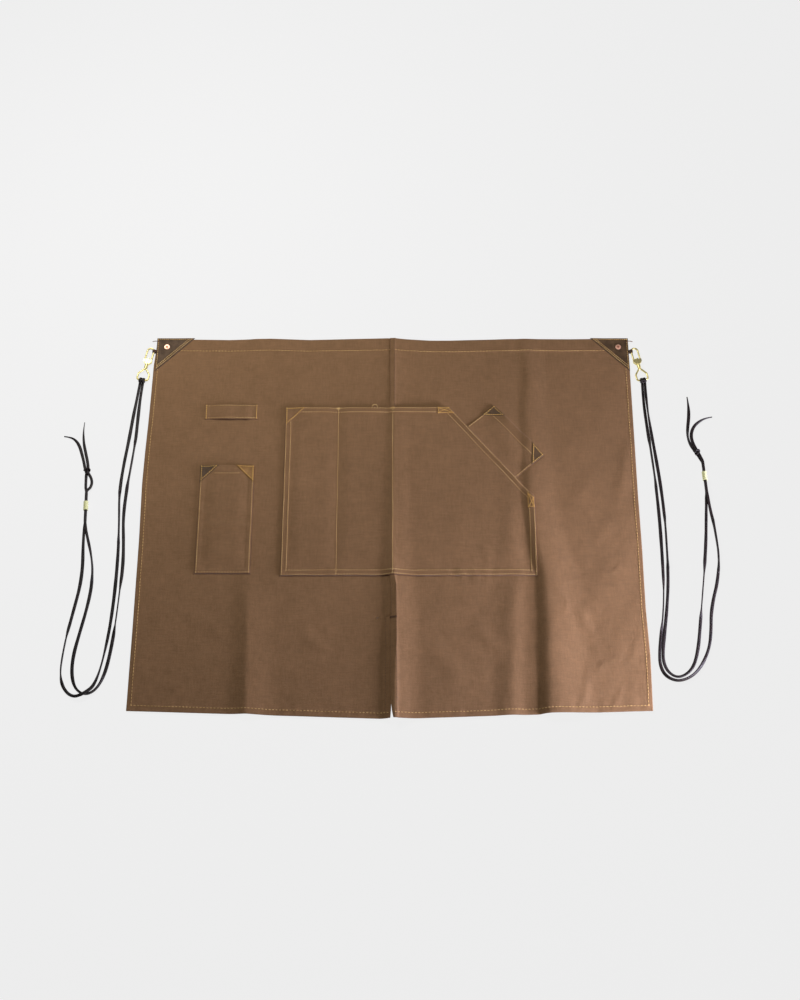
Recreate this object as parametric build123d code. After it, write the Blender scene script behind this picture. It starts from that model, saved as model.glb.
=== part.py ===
from build123d import *
import math
import os

# A canvas waist apron laid flat, face up, with +X across its width, +Y towards the waist edge
# and +Z out of its face. Millimetres. The origin is on the resting plane, under the middle.

# Apron body
apron_width = 820.0
apron_height = 687.0        # at the middle, waist edge to hem
hem_rise = 13.0             # how much higher the hem's outer corners are than its middle
cloth_t = 1.1               # waxed canvas
top_hem = 25.0
side_hem = 8.0
bottom_hem = 10.0
seam_width = 9.0            # lap of the middle seam
vent_length = 168.0         # slit between the legs, up from the hem
vent_gap = 6.0              # width of the slit at the hem
waist_y = apron_height / 2
face_z = 2 * cloth_t        # front of the cloth; the turned-in layers lie below it

# Pockets
pocket_rise = 6.0           # hollow between a pocket and the cloth behind it
pocket_slope = 14.0         # width of the bank that leads up to the hollow
pocket_seam = 9.0           # flat sewn margin of the main pocket
small_seam = 7.0            # flat sewn margin of the small pockets
main_left = -181.5
main_width = 417.5
main_height = 308.5
main_drop = 138.0           # waist edge to the main pocket's mouth
slant_run = 139.5           # how far the slanted mouth comes in along the top
slant_fall = 170.0          # how far it comes down the side
divider_x = (-91.5, 0.5)    # stitched lines that part the main pocket
divider_w = 4.0
phone_left = -321.0
phone_width = 90.0
phone_height = 195.0
phone_drop = 248.0
tool_x = 212.8              # middle of the tool pocket's mouth
tool_drop = 180.3           # waist edge to that middle
tool_turn = -49.5           # degrees, the tool pocket's lean
tool_width = 122.0
tool_depth = 114.0
tool_hollow = 56.0          # depth of its open part; the rest is flat under the main pocket
loop_left = -319.0
loop_width = 90.0
loop_strap = 28.0
loop_drop = 132.0
loop_foot = 12.0            # sewn end of the utility loop

# Leather
corner_leg = 65.5
corner_t = 1.2
patch_t = 0.8
phone_patch_leg = 31.0
tool_patch_leg = 28.0
main_patch_leg = 35.0
slant_tab_long = 20.0
slant_tab_short = 13.0
tab_t = 1.1
tab_width = 13.0
loop_wall = 1.1
loop_band = 6.0             # width of the leather loop where it goes round the snap
tab_gap = 0.2

# Rivets
rivet_in = (18.0, 18.0)     # from the apron's corner, across and down
rivet_r = 1.5
rivet_head_r = 4.5
rivet_head_t = 0.5
burr_r = 4.8
burr_t = 0.9
peen_r = 2.1
peen_t = 0.5

# Snap hooks
snap_out = 9.8              # middle of the bow, out from the apron's edge
snap_drop = 26.8            # and down from the waist edge
snap_z = 3.2
snap_tilt = 11.0            # degrees outwards from straight down
bow_r = 5.7
wire_r = 1.5
window_end = 16.5           # foot of the bow's window, down from the middle of the bow
base_end = 24.0
barrel_end = 32.0
barrel_r = 3.0
base_t = 5.4
lug_gap = 3.0
gate_pivot = 19.0
gate_t = 2.0
gate_r = 1.4
gate_tip = 2.6
nose_tip = 2.2
pin_r = 0.7
running_gap = 0.1
end_gap = 0.3
stem_r = 1.35
stem_head_r = 2.3
stem_head_t = 1.4
eye_half = 9.6              # half the width of the eye, to the middle of its wire
eye_shoulder = 46.0
eye_end = 57.5
part_gap = 0.3

# Laces
lace_w = 4.5
lace_pitch = 4.8            # between two laces that lie side by side
hitch_half = 4.7
hitch_top = 52.5
hitch_end = 62.5
bead_r = 3.9
bead_bore = 3.15
bead_length = 15.5
bundle_r = 2.9
knot_r = 5.5
floor_z = lace_w / 2 + 0.05

snap_x = apron_width / 2 + snap_out
snap_y = waist_y - snap_drop


# ---- shared shapes

def prism(points, z0, height):
    """A flat polygon, height tall, from z0 up."""
    return Pos(0, 0, z0) * extrude(make_face(Polyline(*points, close=True)), amount=height)


def slab(x0, x1, y0, y1, z0, height):
    return prism([(x0, y0), (x1, y0), (x1, y1), (x0, y1)], z0, height)


def mound(x0, x1, y0, y1, rise=pocket_rise):
    """The hollow under a pocket: a low block with sloping banks."""
    middle = ((x0 + x1) / 2, (y0 + y1) / 2)
    foot = Pos(*middle, face_z) * Rectangle(x1 - x0, y1 - y0)
    size = (x1 - x0 - 2 * pocket_slope, y1 - y0 - 2 * pocket_slope)
    crown = Pos(*middle, face_z + rise) * Rectangle(*size)
    return loft([foot.face(), crown.face()], ruled=True)


def pocket(outline, hollows):
    """A pocket's cloth over its hollows, and the same shape with the hollows filled."""
    filled = prism(outline, face_z, cloth_t)
    for hollow in hollows:
        filled = filled + Pos(0, 0, cloth_t) * hollow
    filled = filled & prism(outline, face_z, 3 * pocket_rise)
    cloth = filled
    for hollow in hollows:
        cloth = cloth - hollow
    return cloth, filled


def patch(filled, outline):
    """A thin piece of leather that follows the outside of a pocket."""
    layer = Pos(0, 0, patch_t) * filled - filled
    return layer & prism(outline, face_z, 3 * pocket_rise)


def corner(x, y, dx, dy):
    """A right-angled triangle with its corner at x, y and legs dx and dy."""
    return [(x, y), (x + dx, y), (x, y + dy)]


def both_sides(shape):
    """The right-hand shape and its mirror image."""
    return {"right": shape, "left": mirror(shape, about=Plane.YZ)}


# ---- body of the apron

def hem_y(x):
    """The hem's height at x: a shallow V."""
    return -waist_y + hem_rise * abs(x) / (apron_width / 2)


def bottom_strip(x0, x1):
    points = [(x0, hem_y(x0)), (x1, hem_y(x1)), (x1, hem_y(x1) + bottom_hem), (x0, hem_y(x0) + bottom_hem)]
    return prism(points, 0, cloth_t)


def tongue_outline(gap=0.0):
    """The flat of the hook tab, from the rivet out to the snap."""
    rivet_x = apron_width / 2 - rivet_in[0]
    rivet_y = waist_y - rivet_in[1]
    back = rivet_x - tab_width * 0.6 - gap
    band = loop_band / 2 + gap
    half = tab_width / 2 + gap
    nose = snap_x - bow_r - wire_r / 2
    neck = apron_width / 2 + 1
    return [(back, rivet_y - half), (rivet_x, rivet_y - half - 4), (neck, snap_y - band), (nose, snap_y - band),
            (nose, snap_y + band), (neck, snap_y + band), (rivet_x + half, rivet_y + half), (back, rivet_y + half)]


def corner_cuts(panel, side):
    """Room in the turned-in hem for the hook tab, and the rivet's hole."""
    rivet_x = apron_width / 2 - rivet_in[0]
    rivet_y = waist_y - rivet_in[1]
    recess = prism(tongue_outline(tab_gap), 0, tab_t)
    hole = Pos(rivet_x, rivet_y, face_z / 2) * Cylinder(rivet_r, 2 * face_z)
    cut = recess + hole
    if side < 0:
        cut = mirror(cut, about=Plane.YZ)
    return panel - cut


def left_panel():
    edge = -apron_width / 2
    lap = seam_width / 2
    vent_top = -waist_y + vent_length
    vent_x = -lap + 1
    front = [(edge, waist_y), (-lap, waist_y), (-lap, vent_top), (vent_x, hem_y(vent_x)), (edge, hem_y(edge))]
    panel = prism(front, cloth_t, cloth_t)
    panel += slab(edge, lap, waist_y - top_hem, waist_y, 0, cloth_t)
    panel += slab(-lap - side_hem, lap, vent_top, waist_y, 0, cloth_t)
    panel += prism([(edge, hem_y(edge)), (edge + side_hem, hem_y(edge + side_hem)), (edge + side_hem, waist_y),
                    (edge, waist_y)], 0, cloth_t)
    panel += prism([(-lap - side_hem, vent_top), (-lap, vent_top), (vent_x, hem_y(vent_x)),
                    (vent_x - side_hem, hem_y(vent_x - side_hem))], 0, cloth_t)
    panel += bottom_strip(edge, vent_x)
    return corner_cuts(panel, -1)


def right_panel():
    edge = apron_width / 2
    lap = seam_width / 2
    vent_top = -waist_y + vent_length
    vent_x = -lap + 1 + vent_gap
    front = [(edge, waist_y), (-lap, waist_y), (-lap, vent_top), (vent_x, hem_y(vent_x)), (edge, hem_y(edge))]
    panel = prism(front, cloth_t, cloth_t)
    panel += slab(lap, edge, waist_y - top_hem, waist_y, 0, cloth_t)
    panel += slab(lap, lap + side_hem, vent_top, waist_y, 0, cloth_t)
    panel += prism([(edge, hem_y(edge)), (edge - side_hem, hem_y(edge - side_hem)), (edge - side_hem, waist_y),
                    (edge, waist_y)], 0, cloth_t)
    panel += prism([(-lap, vent_top), (-lap + side_hem, vent_top), (vent_x + side_hem, hem_y(vent_x + side_hem)),
                    (vent_x, hem_y(vent_x))], 0, cloth_t)
    panel += bottom_strip(vent_x, edge)
    return corner_cuts(panel, 1)


# ---- pockets and the leather on them

def main_pocket_nodes():
    top = waist_y - main_drop
    bottom = top - main_height
    right = main_left + main_width
    slant_x = right - slant_run
    slant_y = top - slant_fall
    outline = [(main_left, bottom), (right, bottom), (right, slant_y), (slant_x, top), (main_left, top)]
    half = divider_w / 2
    past = top + 3 * pocket_slope
    floor = bottom + pocket_seam
    hollows = [
        mound(main_left + pocket_seam, divider_x[0] - half, floor, past),
        mound(divider_x[0] + half, divider_x[1] - half, floor, past),
        mound(divider_x[1] + half, right - pocket_seam, floor, top - pocket_seam),
    ]
    cloth, filled = pocket(outline, hollows)
    along = math.atan2(slant_fall, slant_run)
    upper = [(slant_x - slant_tab_long, top), (slant_x, top),
             (slant_x + slant_tab_short * math.cos(along), top - slant_tab_short * math.sin(along)),
             (slant_x - slant_tab_long, top - slant_tab_short)]
    lower = [(right, slant_y), (right, slant_y - slant_tab_long), (right - slant_tab_short, slant_y - slant_tab_long),
             (right - slant_tab_short * math.cos(along), slant_y + slant_tab_short * math.sin(along))]
    return {
        "main_pocket": cloth,
        "main_pocket_corner_patch": patch(filled, corner(main_left, top, main_patch_leg, -main_patch_leg)),
        "slant_mouth_upper_tab": patch(filled, upper),
        "slant_mouth_lower_tab": patch(filled, lower),
    }


def phone_pocket_nodes():
    top = waist_y - phone_drop
    bottom = top - phone_height
    right = phone_left + phone_width
    outline = [(phone_left, bottom), (right, bottom), (right, top), (phone_left, top)]
    hollow = mound(phone_left + small_seam, right - small_seam, bottom + small_seam, top + 3 * pocket_slope)
    cloth, filled = pocket(outline, [hollow])
    leg = phone_patch_leg
    return {
        "phone_pocket": cloth,
        "phone_pocket_left_patch": patch(filled, corner(phone_left, top, leg, -leg)),
        "phone_pocket_right_patch": patch(filled, corner(right, top, -leg, -leg)),
    }


def tool_pocket_nodes():
    """Made with its mouth along X at the origin, then leant over and put in place."""
    half = tool_width / 2
    outline = [(-half, -tool_depth), (half, -tool_depth), (half, 0), (-half, 0)]
    hollow = mound(-half + small_seam, half - small_seam, -tool_hollow, 3 * pocket_slope)
    cloth, filled = pocket(outline, [hollow])
    leg = tool_patch_leg
    place = Pos(tool_x, waist_y - tool_drop, 0) * Rot(0, 0, tool_turn)
    return {
        "tool_pocket": place * cloth,
        "tool_pocket_upper_patch": place * patch(filled, corner(-half, 0, leg, -leg)),
        "tool_pocket_lower_patch": place * patch(filled, corner(half, 0, -leg, -leg)),
    }


def utility_loop():
    top = waist_y - loop_drop
    bottom = top - loop_strap
    right = loop_left + loop_width
    outline = [(loop_left, bottom), (right, bottom), (right, top), (loop_left, top)]
    past = 3 * pocket_slope
    hollow = mound(loop_left + loop_foot, right - loop_foot, bottom - past, top + past)
    return pocket(outline, [hollow])[0]


# ---- corners: patch, rivet and hook tab, made for the right-hand side

def rivet_place(z):
    return Pos(apron_width / 2 - rivet_in[0], waist_y - rivet_in[1], z)


def post(radius, z0, z1):
    return rivet_place((z0 + z1) / 2) * Cylinder(radius, z1 - z0)


def corner_patch():
    outline = corner(apron_width / 2, waist_y, -corner_leg, -corner_leg)
    return prism(outline, face_z, corner_t) - post(rivet_r, 0, face_z + 2 * corner_t)


def rivet():
    top = face_z + corner_t + burr_t
    peened = fillet(post(peen_r, top, top + peen_t).edges().group_by(Axis.Z)[-1], peen_t * 0.6)
    return post(rivet_head_r, 0, rivet_head_t) + post(rivet_r, 0, top + peen_t / 2) + peened


def rivet_burr():
    z0 = face_z + corner_t
    ring = post(burr_r, z0, z0 + burr_t)
    ring = fillet(ring.edges().group_by(Axis.Z)[-1], burr_t / 3)
    return ring - post(rivet_r, z0, z0 + burr_t)


def hook_tab():
    """A tongue held by the rivet, with a loop that goes round the snap's bow."""
    bore_in = bow_r + wire_r + part_gap
    bore_out = math.sqrt((bow_r - wire_r) ** 2 - (loop_band / 2) ** 2) - part_gap
    bore_w = bore_in - bore_out
    bore_h = 2 * (wire_r + part_gap) + 0.2
    x = snap_x - (bore_in + bore_out) / 2
    section = Plane(origin=(x, snap_y, snap_z), x_dir=(1, 0, 0), z_dir=(0, 1, 0))
    wall = section * RectangleRounded(bore_w + 2 * loop_wall, bore_h + 2 * loop_wall, bore_h / 2)
    bore = section * RectangleRounded(bore_w, bore_h, bore_h / 2 - 0.1)
    ring = extrude(wall, loop_band / 2, both=True)
    tongue = prism(tongue_outline(), 0, tab_t)
    tab = (ring + tongue) - extrude(bore, loop_band, both=True)
    return tab - post(rivet_r, 0, face_z) - post(rivet_head_r, 0, rivet_head_t)


# ---- snap hook, made with the middle of its bow at the origin and its shank down -Y

def rod(x, y0, y1, radius):
    """A round bar along Y."""
    return Pos(x, (y0 + y1) / 2, 0) * Rot(90, 0, 0) * Cylinder(radius, abs(y1 - y0))


def snap_body():
    line = Line((bow_r, -nose_tip), (bow_r, 0))
    line += ThreePointArc((bow_r, 0), (0, bow_r), (-bow_r, 0))
    line += Line((-bow_r, 0), (-bow_r, -window_end - 1))
    bow = sweep(Plane(origin=line @ 0, z_dir=line % 0) * Circle(wire_r), path=line)
    wide = bow_r + wire_r
    plan = [(-wide, -window_end), (wide, -window_end), (wide, -base_end + 2.5), (barrel_r, -base_end - 2),
            (-barrel_r, -base_end - 2), (-wide, -base_end + 2.5)]
    block = prism(plan, -base_t / 2, base_t)
    block = fillet(block.edges().filter_by(Axis.Z), 1.2)
    body = bow + block + rod(0, -base_end, -barrel_end, barrel_r)
    body -= rod(0, -window_end + 1, -barrel_end - 1, stem_r + running_gap)
    slot = Pos(wide, -window_end - 3, 0) * Box(2 * (wide - 3.4), 8, lug_gap)
    return body - slot - Pos(bow_r, -gate_pivot, 0) * Cylinder(pin_r, 2 * base_t)


def gate_pin():
    return Pos(bow_r, -gate_pivot, 0) * Cylinder(pin_r, base_t)


def gate():
    z = -lug_gap / 2 + running_gap + gate_t / 2
    tongue = Pos(bow_r, -gate_pivot, z) * Cylinder(1.5, gate_t)
    tongue += Pos(bow_r, -gate_pivot + 2.2, z) * Box(2.4, 4.4, gate_t)
    tongue += rod(bow_r, -gate_tip, -window_end + 0.9, gate_r)
    return tongue - Pos(bow_r, -gate_pivot, 0) * Cylinder(pin_r + running_gap, 2 * base_t)


def gate_spring():
    """The outer shape of the small torsion coil round the pin."""
    z0 = -lug_gap / 2 + 2 * running_gap + gate_t
    z1 = lug_gap / 2 - running_gap
    place = Pos(bow_r, -gate_pivot, (z0 + z1) / 2)
    return place * (Cylinder(1.3, z1 - z0) - Cylinder(pin_r + running_gap, z1 - z0))


def swivel_eye():
    head = rod(0, -window_end + end_gap, -window_end + end_gap + stem_head_t, stem_head_r)
    stem = rod(0, -window_end + end_gap, -barrel_end - 3, stem_r)
    collar = rod(0, -barrel_end - end_gap, -barrel_end - end_gap - 1.8, 2.5)
    top = -barrel_end - 1.6
    points = [(0, top), (eye_half, -eye_shoulder), (eye_half, -eye_end), (-eye_half, -eye_end),
              (-eye_half, -eye_shoulder)]
    ring = FilletPolyline(*points, radius=3.5, close=True)
    start = Plane(origin=ring @ 0, z_dir=ring % 0)
    return head + stem + collar + sweep(start * Circle(wire_r), path=ring)


def lace_hitch(eye):
    """The outer shape of the lace's lark's-head round the bar of the eye."""
    block = Pos(0, -(hitch_top + hitch_end) / 2, 0) * Box(2 * hitch_half, hitch_end - hitch_top, 5.6)
    return fillet(block.edges().filter_by(Axis.Y), 1.6) - eye


def place_snap(shape):
    return Pos(snap_x, snap_y, snap_z) * Rot(0, 0, snap_tilt) * shape


# ---- laces: each route starts at the hitch, as (out, up, z) from the middle of the bow

right_lace_a = [
    (14.3, -61.7, 2.9), (14.2, -92, 2.3), (16.2, -133, 2.3), (21.8, -190, 2.3), (27.2, -250, 2.3),
    (30.2, -310, 2.3), (29.6, -370, 2.3), (28.2, -425, 2.3), (22.9, -472, 2.3), (15.8, -516, 2.3),
    (10.6, -548, 2.3), (10.2, -568, 2.3), (16.5, -584, 2.3), (30.2, -593, 2.3), (46.0, -587, 2.3),
    (58.2, -573, 2.3), (66.8, -546, 2.3), (72.4, -512, 2.3), (79.6, -462, 2.3), (87.4, -412, 2.3),
    (94.6, -360, 2.3), (98.9, -312, 2.3), (99.6, -288, 2.3), (100.1, -264.4, 2.9)]
right_lace_b = [
    (9.6, -62.6, 2.9), (9.2, -92, 2.3), (11.3, -135, 2.3), (15.4, -190, 2.3), (19.3, -250, 2.3),
    (21.4, -310, 2.3), (21.3, -372, 2.3), (20.2, -430, 2.3), (16.4, -478, 2.3), (9.8, -520, 2.3),
    (5.0, -550, 2.3), (4.4, -572, 2.3), (11.5, -590.5, 2.3), (29.5, -599.2, 2.3), (49.5, -593.5, 2.3),
    (65.0, -580, 2.3), (77.5, -560, 2.3), (86.4, -537, 2.3), (90.4, -510, 2.3), (92.4, -486, 2.3),
    (98.4, -459, 2.3), (106.4, -434, 2.3), (111.8, -404, 2.3), (113.4, -378, 2.3), (112.0, -352, 2.3),
    (109.9, -326, 2.3), (107.2, -303, 2.3), (106.2, -284, 2.3), (104.9, -264.4, 2.9)]
left_lace_a = [
    (14.3, -61.7, 2.9), (17.2, -92, 2.3), (21.2, -125, 2.3), (25.2, -170, 2.3), (31.2, -222, 2.3),
    (34.2, -270, 2.3), (30.4, -322, 2.3), (28.0, -372, 2.3), (27.6, -424, 2.3), (29.2, -478, 2.3),
    (32.8, -526, 2.3), (38.2, -566, 2.3), (44.4, -594, 2.3), (50.8, -609, 4.6), (58.6, -617.0, 7.7),
    (67.6, -622.4, 7.7), (78.0, -624.6, 4.8), (89.4, -618.6, 2.3), (99.4, -604.5, 2.3), (103.6, -583, 2.3),
    (102.4, -556, 2.3), (98.6, -520, 2.3), (91.6, -478, 2.3), (85.2, -440, 2.3), (83.6, -404, 2.3),
    (86.8, -368, 2.3), (88.4, -342, 2.3), (88.5, -319.2, 2.9)]
left_lace_b = [
    (9.6, -62.6, 2.9), (12.0, -92, 2.3), (13.1, -126, 2.3), (14.0, -175, 2.3), (18.4, -226, 2.3),
    (23.0, -272, 2.3), (24.4, -318, 2.3), (20.4, -360, 2.3), (18.2, -402, 2.3), (20.2, -450, 2.3),
    (22.4, -500, 2.3), (26.8, -548, 2.3), (31.8, -580, 2.3), (38.4, -602, 2.3), (48.0, -615.4, 2.3),
    (60.2, -620.8, 2.3), (72.6, -616.0, 2.3), (81.6, -602.6, 2.3), (86.2, -580, 2.3), (85.2, -553, 2.3),
    (79.2, -520, 2.3), (71.8, -482, 2.3), (66.8, -446, 2.3), (66.2, -412, 2.3), (70.4, -382, 2.3),
    (76.4, -354, 2.3), (81.6, -336, 2.3), (83.7, -319.2, 2.9)]
laces = {
    "right": {
        "lace_a": right_lace_a,
        "lace_b": right_lace_b,
        "upper_a": [(98.7, -220.1, 2.9), (95.8, -209.5, 3.0), (90.9, -201.6, 4.0)],
        "upper_b": [(103.4, -219.9, 2.9), (100.9, -208.5, 3.0), (96.0, -198.6, 4.0)],
        "tail_a": [(88.8, -193.6, 4.0), (82.4, -181, 2.6), (79.0, -166, 2.3), (80.8, -150, 2.3),
                   (84.6, -128, 2.3), (85.8, -108, 2.3), (84.6, -89, 2.3)],
        "tail_b": [(93.0, -192.0, 4.0), (87.6, -178.6, 2.6), (85.4, -166, 2.3), (87.4, -154.5, 2.3),
                   (93.2, -143.8, 2.3), (103.4, -135.4, 2.3), (114, -130.2, 2.3), (124, -128.5, 2.3)],
        "bundle": [(102.5, -264.7, 4.05), (101.0, -219.7, 4.05)],
        "knot": (91.8, -196.5),
    },
    "left": {
        "lace_a": left_lace_a,
        "lace_b": left_lace_b,
        "upper_a": [(90.7, -274.9, 2.9), (91.6, -262, 2.5), (91.2, -249, 2.6), (92.6, -236.4, 4.0)],
        "upper_b": [(85.9, -274.7, 2.9), (81.9, -265.5, 2.4), (79.6, -254.5, 2.4), (82.2, -244, 2.8),
                    (87.6, -235.8, 4.0)],
        "tail_a": [(89.0, -227.6, 4.0), (91.8, -213, 2.6), (96.2, -197, 2.3), (100.4, -181, 2.3),
                   (102.7, -165, 2.3), (103.4, -152, 2.3), (102.8, -139, 2.3)],
        "tail_b": [(94.2, -228.6, 4.0), (97.8, -214, 2.6), (102.4, -199, 2.3), (107.4, -184, 2.3),
                   (114.6, -173, 2.3), (124.2, -167, 2.3), (135.2, -165.8, 2.3)],
        "bundle": [(86.1, -319.5, 4.05), (88.3, -274.5, 4.05)],
        "knot": (90.6, -231.8),
    },
}
bead_along = 24.0           # middle of the bead, up the bundle from its lower end


def on_floor(side, point):
    """A lace point in the apron's frame; side is 1 on the right and -1 on the left."""
    return Vector(side * (snap_x + point[0]), snap_y + point[1], point[2])


def tube(side, route):
    """A lace's tube: straight runs joined by arcs as large as the runs allow."""
    points = [on_floor(side, p) for p in route]
    radii = []
    for before, here, after in zip(points, points[1:], points[2:]):
        run_in = here - before
        run_out = after - here
        half_turn = math.radians(run_in.get_angle(run_out)) / 2
        radii.append(0.45 * min(run_in.length, run_out.length) / math.tan(half_turn))
    path = FilletPolyline(*points, radius=radii)
    solid = sweep(Plane(origin=path @ 0, z_dir=path % 0) * Circle(lace_w / 2), path=path)
    expected = math.pi * (lace_w / 2) ** 2 * path.length
    print(f"tube {path.length:7.1f} mm long, least radius {min(radii):5.1f}, volume {solid.volume / expected:.4f}")
    return solid


def along(side, name, radius, start, end):
    """A round bar on the line of the straight bundle, from start to end along it."""
    low, high = [on_floor(side, p) for p in laces[name]["bundle"]]
    way = (high - low).normalized()
    foot = low + way * start
    return extrude(Plane(origin=foot, z_dir=way) * Circle(radius), amount=end - start)


def lace_nodes(side, name):
    route = laces[name]
    nodes = {}
    for part in ("lace_a", "lace_b", "upper_a", "upper_b", "tail_a", "tail_b"):
        nodes[f"{name}_{part}"] = tube(side, route[part])
    low, high = [on_floor(side, p) for p in route["bundle"]]
    nodes[f"{name}_lace_pair"] = along(side, name, bundle_r, 0, (high - low).length)
    first = bead_along - bead_length / 2
    last = bead_along + bead_length / 2
    nodes[f"{name}_bead"] = along(side, name, bead_r, first, last) - along(side, name, bead_bore, first, last)
    nodes[f"{name}_knot"] = Pos(on_floor(side, (*route["knot"], knot_r))) * Sphere(knot_r)
    return nodes


# ---- the whole apron

def all_nodes():
    nodes = {"left_panel": left_panel(), "right_panel": right_panel()}
    nodes.update(main_pocket_nodes())
    nodes.update(phone_pocket_nodes())
    nodes.update(tool_pocket_nodes())
    nodes["utility_loop"] = utility_loop()
    eye = swivel_eye()
    pieces = {
        "corner_patch": corner_patch(),
        "rivet": rivet(),
        "rivet_burr": rivet_burr(),
        "hook_tab": hook_tab(),
        "snap_hook": place_snap(snap_body()),
        "gate": place_snap(gate()),
        "gate_pin": place_snap(gate_pin()),
        "gate_spring": place_snap(gate_spring()),
        "swivel_eye": place_snap(eye),
        "lace_hitch": place_snap(lace_hitch(eye)),
    }
    for piece, shape in pieces.items():
        for name, solid in both_sides(shape).items():
            nodes[f"{name}_{piece}"] = solid
    nodes.update(lace_nodes(1, "right"))
    nodes.update(lace_nodes(-1, "left"))
    return nodes


os.makedirs("parts", exist_ok=True)
for node, solid in all_nodes().items():
    export_step(solid, f"parts/{node}.step")
print(f"snap at {snap_x:.2f}, {snap_y:.2f}")
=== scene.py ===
# A waxed canvas waist apron laid flat, face up: two sewn panels, patch pockets, leather
# corner patches, brass snaps and two leather laces, each folded in half. Lengths below are in millimetres.
import math

import bmesh
import bpy
import numpy as np
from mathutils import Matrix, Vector


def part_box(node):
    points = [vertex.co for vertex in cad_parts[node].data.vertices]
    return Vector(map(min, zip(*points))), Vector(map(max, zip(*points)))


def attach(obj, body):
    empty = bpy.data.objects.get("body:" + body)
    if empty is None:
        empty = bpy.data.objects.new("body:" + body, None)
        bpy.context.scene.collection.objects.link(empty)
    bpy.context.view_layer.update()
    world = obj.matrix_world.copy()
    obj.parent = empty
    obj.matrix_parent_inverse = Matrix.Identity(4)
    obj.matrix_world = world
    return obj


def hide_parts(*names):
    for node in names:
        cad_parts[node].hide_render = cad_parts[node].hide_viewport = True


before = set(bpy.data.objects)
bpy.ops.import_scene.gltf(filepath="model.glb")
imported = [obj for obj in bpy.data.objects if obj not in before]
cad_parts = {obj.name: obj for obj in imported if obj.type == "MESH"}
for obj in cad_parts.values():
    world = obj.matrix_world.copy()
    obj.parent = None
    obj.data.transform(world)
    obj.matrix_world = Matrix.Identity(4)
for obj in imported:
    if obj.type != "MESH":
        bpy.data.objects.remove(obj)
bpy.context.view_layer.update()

MM = 0.001
SIDES = {"left": -1, "right": 1}


# ---- places, read from the frame

def edges(node):
    """Lowest and highest corner of a node, in millimetres."""
    low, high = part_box(node)
    return [c / MM for c in low], [c / MM for c in high]


(left_edge, hem_mid, _), (_, waist_y, _) = edges("left_panel")
right_edge = edges("right_panel")[1][0]
(main_x0, main_y0, _), (main_x1, main_y1, _) = edges("main_pocket")
(phone_x0, phone_y0, _), (phone_x1, phone_y1, _) = edges("phone_pocket")
(loop_x0, loop_y0, _), (loop_x1, loop_y1, _) = edges("utility_loop")
(burr_x0, burr_y0, burr_z0), (burr_x1, burr_y1, burr_z1) = edges("right_rivet_burr")
rivet_x, rivet_y = (burr_x0 + burr_x1) / 2, (burr_y0 + burr_y1) / 2

half_width = (right_edge - left_edge) / 2
hem_rise = 13.0          # the hem's outer corners above its middle
cloth_t = 1.1
face_z = 2 * cloth_t
top_hem, side_hem, bottom_hem = 25.0, 8.0, 10.0
lap = 4.5                # half of the middle seam's width
vent_top = hem_mid + 168.0
slant_x, slant_y = main_x1 - 139.5, main_y1 - 170.0
dividers = (-91.5, 0.5)
tool_mouth, tool_turn = (212.8, 163.2), math.radians(-49.5)
tool_width, tool_depth, tool_open = 122.0, 114.0, 56.0
corner_leg, corner_t, patch_t = 65.5, 1.2, 0.8
main_leg, phone_leg, tool_leg = 35.0, 31.0, 28.0
bow = (419.8, 316.7, 3.2)  # middle of the snap's bow, right-hand side
snap_tilt = math.radians(11)


# ---- meshes

def make_mesh(name, points, faces, body, material):
    mesh = bpy.data.meshes.new(name)
    mesh.from_pydata([tuple(p) for p in np.asarray(points) * MM], [], faces)
    mesh.update()
    mesh.materials.append(material)
    mesh.polygons.foreach_set("use_smooth", [True] * len(mesh.polygons))
    piece = bpy.data.objects.new(name, mesh)
    bpy.context.scene.collection.objects.link(piece)
    if body:
        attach(piece, body)
    return piece


def sheet_faces(rows, columns):
    """A closed skin over two grids, the front one first, with a rim between them."""
    front = np.arange(rows * columns).reshape(rows, columns)
    back = front + rows * columns
    quads = np.stack([front[:-1, :-1], front[:-1, 1:], front[1:, 1:], front[1:, :-1]], -1).reshape(-1, 4)
    under = np.stack([back[:-1, :-1], back[1:, :-1], back[1:, 1:], back[:-1, 1:]], -1).reshape(-1, 4)
    ring = list(front[0, :-1]) + list(front[:-1, -1]) + list(front[-1, :0:-1]) + list(front[:0:-1, 0])
    below = [i + rows * columns for i in ring]
    rim = [(ring[i - 1], below[i - 1], below[i], ring[i]) for i in range(len(ring))]
    return [tuple(int(i) for i in q) for q in [*quads, *under, *rim]]


def closed_sheet(name, front, back, body, material):
    rows, columns = front.shape[:2]
    points = np.concatenate([front.reshape(-1, 3), back.reshape(-1, 3)])
    return make_mesh(name, points, sheet_faces(rows, columns), body, material)


def ease(t):
    t = np.clip(t, 0.0, 1.0)
    return t * t * (3 - 2 * t)


def ticks(low, high, step, *marks, fine=1.6, reach=3.2):
    """Grid lines from low to high, with closer ones round each mark and at the borders."""
    lines = set(np.linspace(low, high, max(2, round((high - low) / step) + 1)))
    for mark in marks:
        for k in range(-round(reach / fine), round(reach / fine) + 1):
            if low < mark + k * fine < high:
                lines.add(mark + k * fine)
    lines |= {low + 0.3, low + 0.9, low + 2.2, high - 0.3, high - 0.9, high - 2.2}
    lines = sorted(lines)
    kept = [lines[0]]
    for line in lines[1:-1]:
        near_border = line - low < 2.3 or high - line < 2.3
        if line - kept[-1] > (0.25 if near_border else 0.8):
            kept.append(line)
    return np.array(kept + [lines[-1]])


def rounded(inward, drop=0.5, over=0.9):
    """How far a folded edge falls at a distance in from it."""
    t = np.clip(inward / over, 0.0, 1.0)
    return drop * (1 - np.sqrt(1 - (1 - t) ** 2))


# ---- how the cloth lies: folds and ripples that every layer follows

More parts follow.
